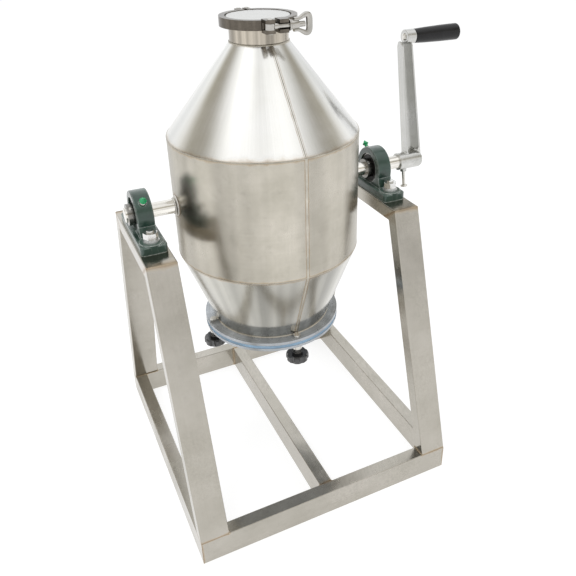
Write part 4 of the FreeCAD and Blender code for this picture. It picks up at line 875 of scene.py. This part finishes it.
class MIXER_OT_bearings(bpy.types.Operator):
    """Finish the housings and what they hold"""
    bl_idname = "mixer.bearings"
    bl_label = "Bearings"

    def execute(self, context):
        settings = context.scene.mixer_steel
        colours = context.scene.mixer_colour
        finish_nodes(cast_paint("housing_paint", colours.housing), "left_housing",
                     "right_housing")
        ground = steel("ground_ring", scaled(settings.turned, 1.2), 0.14,
                       grain_scale=(900, 40, 40))
        # The bearings' inner and outer rings: a darker copy of the ball steel, painted shade for
        # the shadowed sides of the housings.
        shaded_ring_steel = steel("shaded_ring", scaled(settings.turned, 0.5), 0.24, grain_scale=(900, 40, 40))
        rubber = plastic("seal_rubber", SEAL_RUBBER, 0.42)
        finish_nodes(ground, "left_balls", "right_balls")
        finish_nodes(shaded_ring_steel, "inner_rings", "outer_rings")
        finish_nodes(rubber, "bearing_seals")
        new_piece("seal_ridges", mesh_from(self.ridges, "seal_ridges"), "frame",
                  rubber)
        new_piece("nipple_caps_moulded", mesh_from(self.caps, "nipple_caps_moulded"), "frame",
                  plastic("cap_green", colours.cap, 0.3, 400.0, coat=0.3),
                  ("nipple_caps",))
        finish_nodes(plastic("cage_resin", CAGE_RESIN, 0.45), "left_ball_cage",
                     "right_ball_cage")
        finish_nodes(steel("nipple_steel", scaled(settings.turned, 1.1), 0.25,
                           grain_scale=(300, 300, 300)), "grease_nipples", "ring_screws")
        return {"FINISHED"}

    def ridges(self, cage):
        """Two raised rings on each seal."""
        for middle in (-BEAM_X, BEAM_X):
            for face in (-SEAL_FACE, SEAL_FACE):
                for radius in (16.1 * MM, 18.6 * MM):
                    path = shaft_ring(middle + face, radius, 1.6 * MM)
                    tube(cage, path, lambda index: 0.42 * MM, 8, True)

    def caps(self, cage):
        """A skirt, a rim and a pointed top, set at 45 degrees on each nipple."""
        profile = [(radius * MM, height * MM) for radius, height in (
            (1.2, 3.0), (2.9, 3.0), (2.7, 3.6), (2.8, 7.0), (4.3, 7.6), (4.55, 8.0),
            (4.55, 8.9), (4.2, 9.4), (3.3, 9.7), (2.3, 11.4), (1.4, 13.0), (0.8, 13.6),
            (0.25, 13.75))]
        for middle, lean in ((-BEAM_X, math.pi / 4), (BEAM_X, -math.pi / 4)):
            lathe(cage, profile, Matrix.Translation((middle, 0, AXLE.z))
                  @ Matrix.Rotation(lean, 4, "X") @ Matrix.Translation((0, 0, NIPPLE_SEAT)), 28)


class MIXER_OT_fasteners(bpy.types.Operator):
    """Finish the bolts, nuts and washers of the housings"""
    bl_idname = "mixer.fasteners"
    bl_label = "Fasteners"

    def execute(self, context):
        bright = steel("plated_fasteners", BOLT_PLATING, 0.2,
                       grain_scale=(250, 250, 250), smudge=0.16)
        washers = steel("plated_washers", WASHER_PLATING, 0.26,
                        grain_scale=(250, 250, 250), smudge=0.1, metal=0.65)
        finish_nodes(bright, "housing_bolts", "housing_nuts")
        finish_nodes(washers, "housing_washers", "housing_lock_washers")
        return {"FINISHED"}


class MIXER_OT_shafts(bpy.types.Operator):
    """Finish the shafts"""
    bl_idname = "mixer.shafts"
    bl_label = "Shafts"

    def execute(self, context):
        settings = context.scene.mixer_steel
        turned = steel("turned_shaft", scaled(settings.turned, 1.5), 0.14, smudge=0.12,
                       grain_scale=(9, 330, 330), scratch=0.5, welded=collar_mask)
        finish_nodes(turned, "left_shaft", "right_shaft")
        weld = steel("collar_weld", scaled(settings.turned, 1.4), 0.3, smudge=0.3, metal=0.7,
                     grain_scale=(400, 400, 400), scratch=0.3)
        new_piece("shaft_welds", mesh_from(self.build, "shaft_welds"), "drum",
                  weld)
        return {"FINISHED"}

    def build(self, cage):
        """A bead round each shaft on the drum's wall, and one on its collar."""
        for side in (-1, 1):
            bead(cage, shaft_ring(side * (DRUM_RADIUS + 0.3 * MM), 12.2 * MM, bead_step()), True,
                 1.5)
            bead(cage, shaft_ring(side * (DRUM_RADIUS + 3.4 * MM), 10.3 * MM, bead_step()), True,
                 1.0)


class MIXER_OT_crank(bpy.types.Operator):
    """Finish the crank's hub, arm, spindle and clamping screw"""
    bl_idname = "mixer.crank"
    bl_label = "Crank"

    def execute(self, context):
        settings = context.scene.mixer_steel
        plated = steel("plated_arm", ARM_PLATING, 0.24, grain_scale=(300, 300, 9),
                       smudge=0.1)
        finish_nodes(plated, "crank_arm")
        finish_nodes(steel("cast_hub", HUB_METAL, 0.3, grain_scale=(260, 260, 260),
                           smudge=0.2, scratch=0.2), "crank_hub")
        weld = steel("crank_weld", CRANK_WELD, 0.34, grain_scale=(400, 400, 400),
                     smudge=0.2, scratch=0.3, metal=0.45)
        new_piece("crank_welds", mesh_from(self.build, "crank_welds"), "drum",
                  weld)
        finish_nodes(steel("crank_fittings", scaled(settings.turned, 1.3), 0.2,
                           grain_scale=(300, 300, 300)), "grip_spindle", "crank_screw")
        return {"FINISHED"}

    def build(self, cage):
        """Beads where the walls of the arm stand on the hub, run out in a small peak."""
        middle = Matrix.Translation((0, 0, AXLE.z)) @ CRANK_TURN
        for x, reach in ((ARM_SIDES[0] - 0.3 * MM, 0.62), (ARM_SIDES[0] + 3.1 * MM, 0.6),
                         (ARM_SIDES[1] - 0.4 * MM, 0.6)):
            count = 40
            path = [middle @ Vector((x, HUB_RADIUS * math.sin(turn), HUB_RADIUS * math.cos(turn)))
                    for turn in (reach * (2 * index / count - 1) for index in range(count + 1))]
            tube(cage, path, lambda index: (1.7 + 0.3 * math.sin(index * 1.9)) * MM
                 * math.sin(math.pi * (index + 1.5) / (count + 3)) ** 0.4, 10)
        foot = Vector((ARM_SIDES[1] - 1.2 * MM, -6.6 * MM, HUB_RADIUS - 1.5 * MM))
        peak = [middle @ (foot + Vector((0.35 * step * MM, 0, step * MM))) for step in range(9)]
        tube(cage, peak, lambda index: (3.0 - 0.3 * index) * MM, 10)


class MIXER_OT_grip(bpy.types.Operator):
    """Finish the turning grip"""
    bl_idname = "mixer.grip"
    bl_label = "Grip"

    def execute(self, context):
        finish_nodes(plastic("moulded_grip", context.scene.mixer_colour.plastic, 0.3, 700.0,
                             gloss=0.35),
                     "crank_grip")
        return {"FINISHED"}


class MIXER_OT_stage(bpy.types.Operator):
    """Set the floor, the lamps, the world and the camera"""
    bl_idname = "mixer.stage"
    bl_label = "Stage"

    def execute(self, context):
        settings = context.scene.mixer_stage
        self.floor(settings.floor_radius)
        self.world(settings.world_light)
        self.lamps(settings.key_power)
        self.camera(settings.focal_length)
        context.scene.view_settings.view_transform = "Standard"
        return {"FINISHED"}

    def floor(self, radius):
        cage = bmesh.new()
        bmesh.ops.create_circle(cage, cap_ends=True, segments=64, radius=radius)
        mesh = bpy.data.meshes.new("floor")
        cage.to_mesh(mesh)
        cage.free()
        plane = bpy.data.objects.new("floor", mesh)
        plane.location.z = -FLOOR_DROP
        bpy.context.scene.collection.objects.link(plane)
        material = bpy.data.materials.new("pale_floor")
        material.use_nodes = True
        material.node_tree.nodes.clear()
        nodes = Nodes(material.node_tree)
        seen = nodes.rays("Is Camera Ray", "Is Glossy Ray", "Is Transmission Ray")
        colour = nodes.mix(seen, grey(FLOOR_COLOUR), grey(FLOOR_COLOUR_SEEN))
        diffuse = nodes.add("ShaderNodeBsdfDiffuse", 0, {0: colour})
        glow = nodes.add("ShaderNodeEmission", 0, {
            0: grey(1), 1: nodes.math("MULTIPLY", seen, FLOOR_GLOW)})
        nodes.end("ShaderNodeOutputMaterial",
                  nodes.add("ShaderNodeAddShader", 0, {0: diffuse, 1: glow}))
        mesh.materials.append(material)

    def world(self, strength):
        """White to the camera, a studio's walls and ceiling to metal, even light elsewhere."""
        world = bpy.data.worlds.new("studio")
        bpy.context.scene.world = world
        world.use_nodes = True
        world.node_tree.nodes.clear()
        nodes = Nodes(world.node_tree)
        way = nodes.add("ShaderNodeTexCoord", "Generated")
        _, _, height = nodes.parts(way)
        facing = nodes.add("ShaderNodeVectorMath", "Value", {0: way, 1: BACKDROP_WAY},
                           operation="DOT_PRODUCT")
        mirrored = nodes.mix(nodes.span(facing, 0.42, 0.72, 0.0, 1.0),
                             nodes.ramp(height, WALLS), BACKDROP)
        uneven = nodes.span(nodes.noise(way, 1.7, 1.0), 0.35, 0.65, *WALL_LIGHT)
        walls = nodes.add("ShaderNodeBackground", 0, {0: mirrored, 1: uneven})
        even = nodes.add("ShaderNodeBackground", 0, {0: grey(1), 1: strength})
        white = nodes.add("ShaderNodeBackground", 0, {0: grey(1)})
        lit = nodes.add("ShaderNodeMixShader", 0, {
            0: nodes.rays("Is Glossy Ray", "Is Transmission Ray"), 1: even, 2: walls})
        nodes.end("ShaderNodeOutputWorld", nodes.add("ShaderNodeMixShader", 0, {
            0: nodes.rays("Is Camera Ray"), 1: lit, 2: white}))

    def lamps(self, power):
        for name, place, size, share in LAMPS:
            data = bpy.data.lights.new(name, "AREA")
            data.shape = "DISK"
            data.size = size
            data.energy = power * share
            lamp = bpy.data.objects.new(name, data)
            lamp.visible_glossy = False
            lamp.location = place
            aim = Vector(LAMPS_AIM) - Vector(place)
            lamp.rotation_euler = aim.to_track_quat("-Z", "Y").to_euler()
            bpy.context.scene.collection.objects.link(lamp)

    def camera(self, focal_length):
        yaw, pitch, roll = (math.radians(angle) for angle in CAMERA_TURN)
        ahead = Vector((-math.sin(yaw) * math.cos(pitch), math.cos(yaw) * math.cos(pitch),
                        -math.sin(pitch)))
        level = Vector((math.cos(yaw), math.sin(yaw), 0))
        above = level.cross(ahead)
        right = level * math.cos(roll) + above * math.sin(roll)
        up = above * math.cos(roll) - level * math.sin(roll)
        data = bpy.data.cameras.new("camera")
        data.lens = focal_length
        data.sensor_width = SENSOR_WIDTH
        data.sensor_fit = "HORIZONTAL"
        data.shift_x, data.shift_y = CAMERA_SHIFT
        camera = bpy.data.objects.new("camera", data)
        camera.matrix_world = Matrix([
            (*row, place) for row, place in zip(zip(right, up, -ahead), CAMERA_PLACE)
        ] + [(0, 0, 0, 1)])
        bpy.context.scene.collection.objects.link(camera)
        bpy.context.scene.camera = camera


class MIXER_PT_panel(bpy.types.Panel):
    """Lists the mixer's settings and pieces in the sidebar"""
    bl_idname = "MIXER_PT_panel"
    bl_label = "Powder Mixer"
    bl_space_type = "VIEW_3D"
    bl_region_type = "UI"
    bl_category = "Mixer"

    def draw(self, context):
        for name, group in SETTINGS.items():
            box = self.layout.box()
            for entry in group.__annotations__:
                box.prop(getattr(context.scene, name), entry)
        for operator in OPERATORS:
            self.layout.operator(operator.bl_idname)


SETTINGS = {
    "mixer_steel": MixerSteelSettings,
    "mixer_weld": MixerWeldSettings,
    "mixer_colour": MixerColourSettings,
    "mixer_stage": MixerStageSettings,
}
OPERATORS = (
    MIXER_OT_stage, MIXER_OT_stand, MIXER_OT_drum, MIXER_OT_neck, MIXER_OT_clamp,
    MIXER_OT_outlet, MIXER_OT_knobs, MIXER_OT_bearings, MIXER_OT_fasteners, MIXER_OT_shafts,
    MIXER_OT_crank, MIXER_OT_grip,
)


def register():
    for group in SETTINGS.values():
        bpy.utils.register_class(group)
    for name, group in SETTINGS.items():
        setattr(bpy.types.Scene, name, bpy.props.PointerProperty(type=group))
    for operator in OPERATORS:
        bpy.utils.register_class(operator)
    bpy.utils.register_class(MIXER_PT_panel)


def unregister():
    bpy.utils.unregister_class(MIXER_PT_panel)
    for operator in reversed(OPERATORS):
        bpy.utils.unregister_class(operator)
    for name, group in reversed(SETTINGS.items()):
        delattr(bpy.types.Scene, name)
        bpy.utils.unregister_class(group)


def main():
    register()
    for operator in OPERATORS:
        group, name = operator.bl_idname.split(".")
        getattr(getattr(bpy.ops, group), name)()


if __name__ == "__main__":
    main()
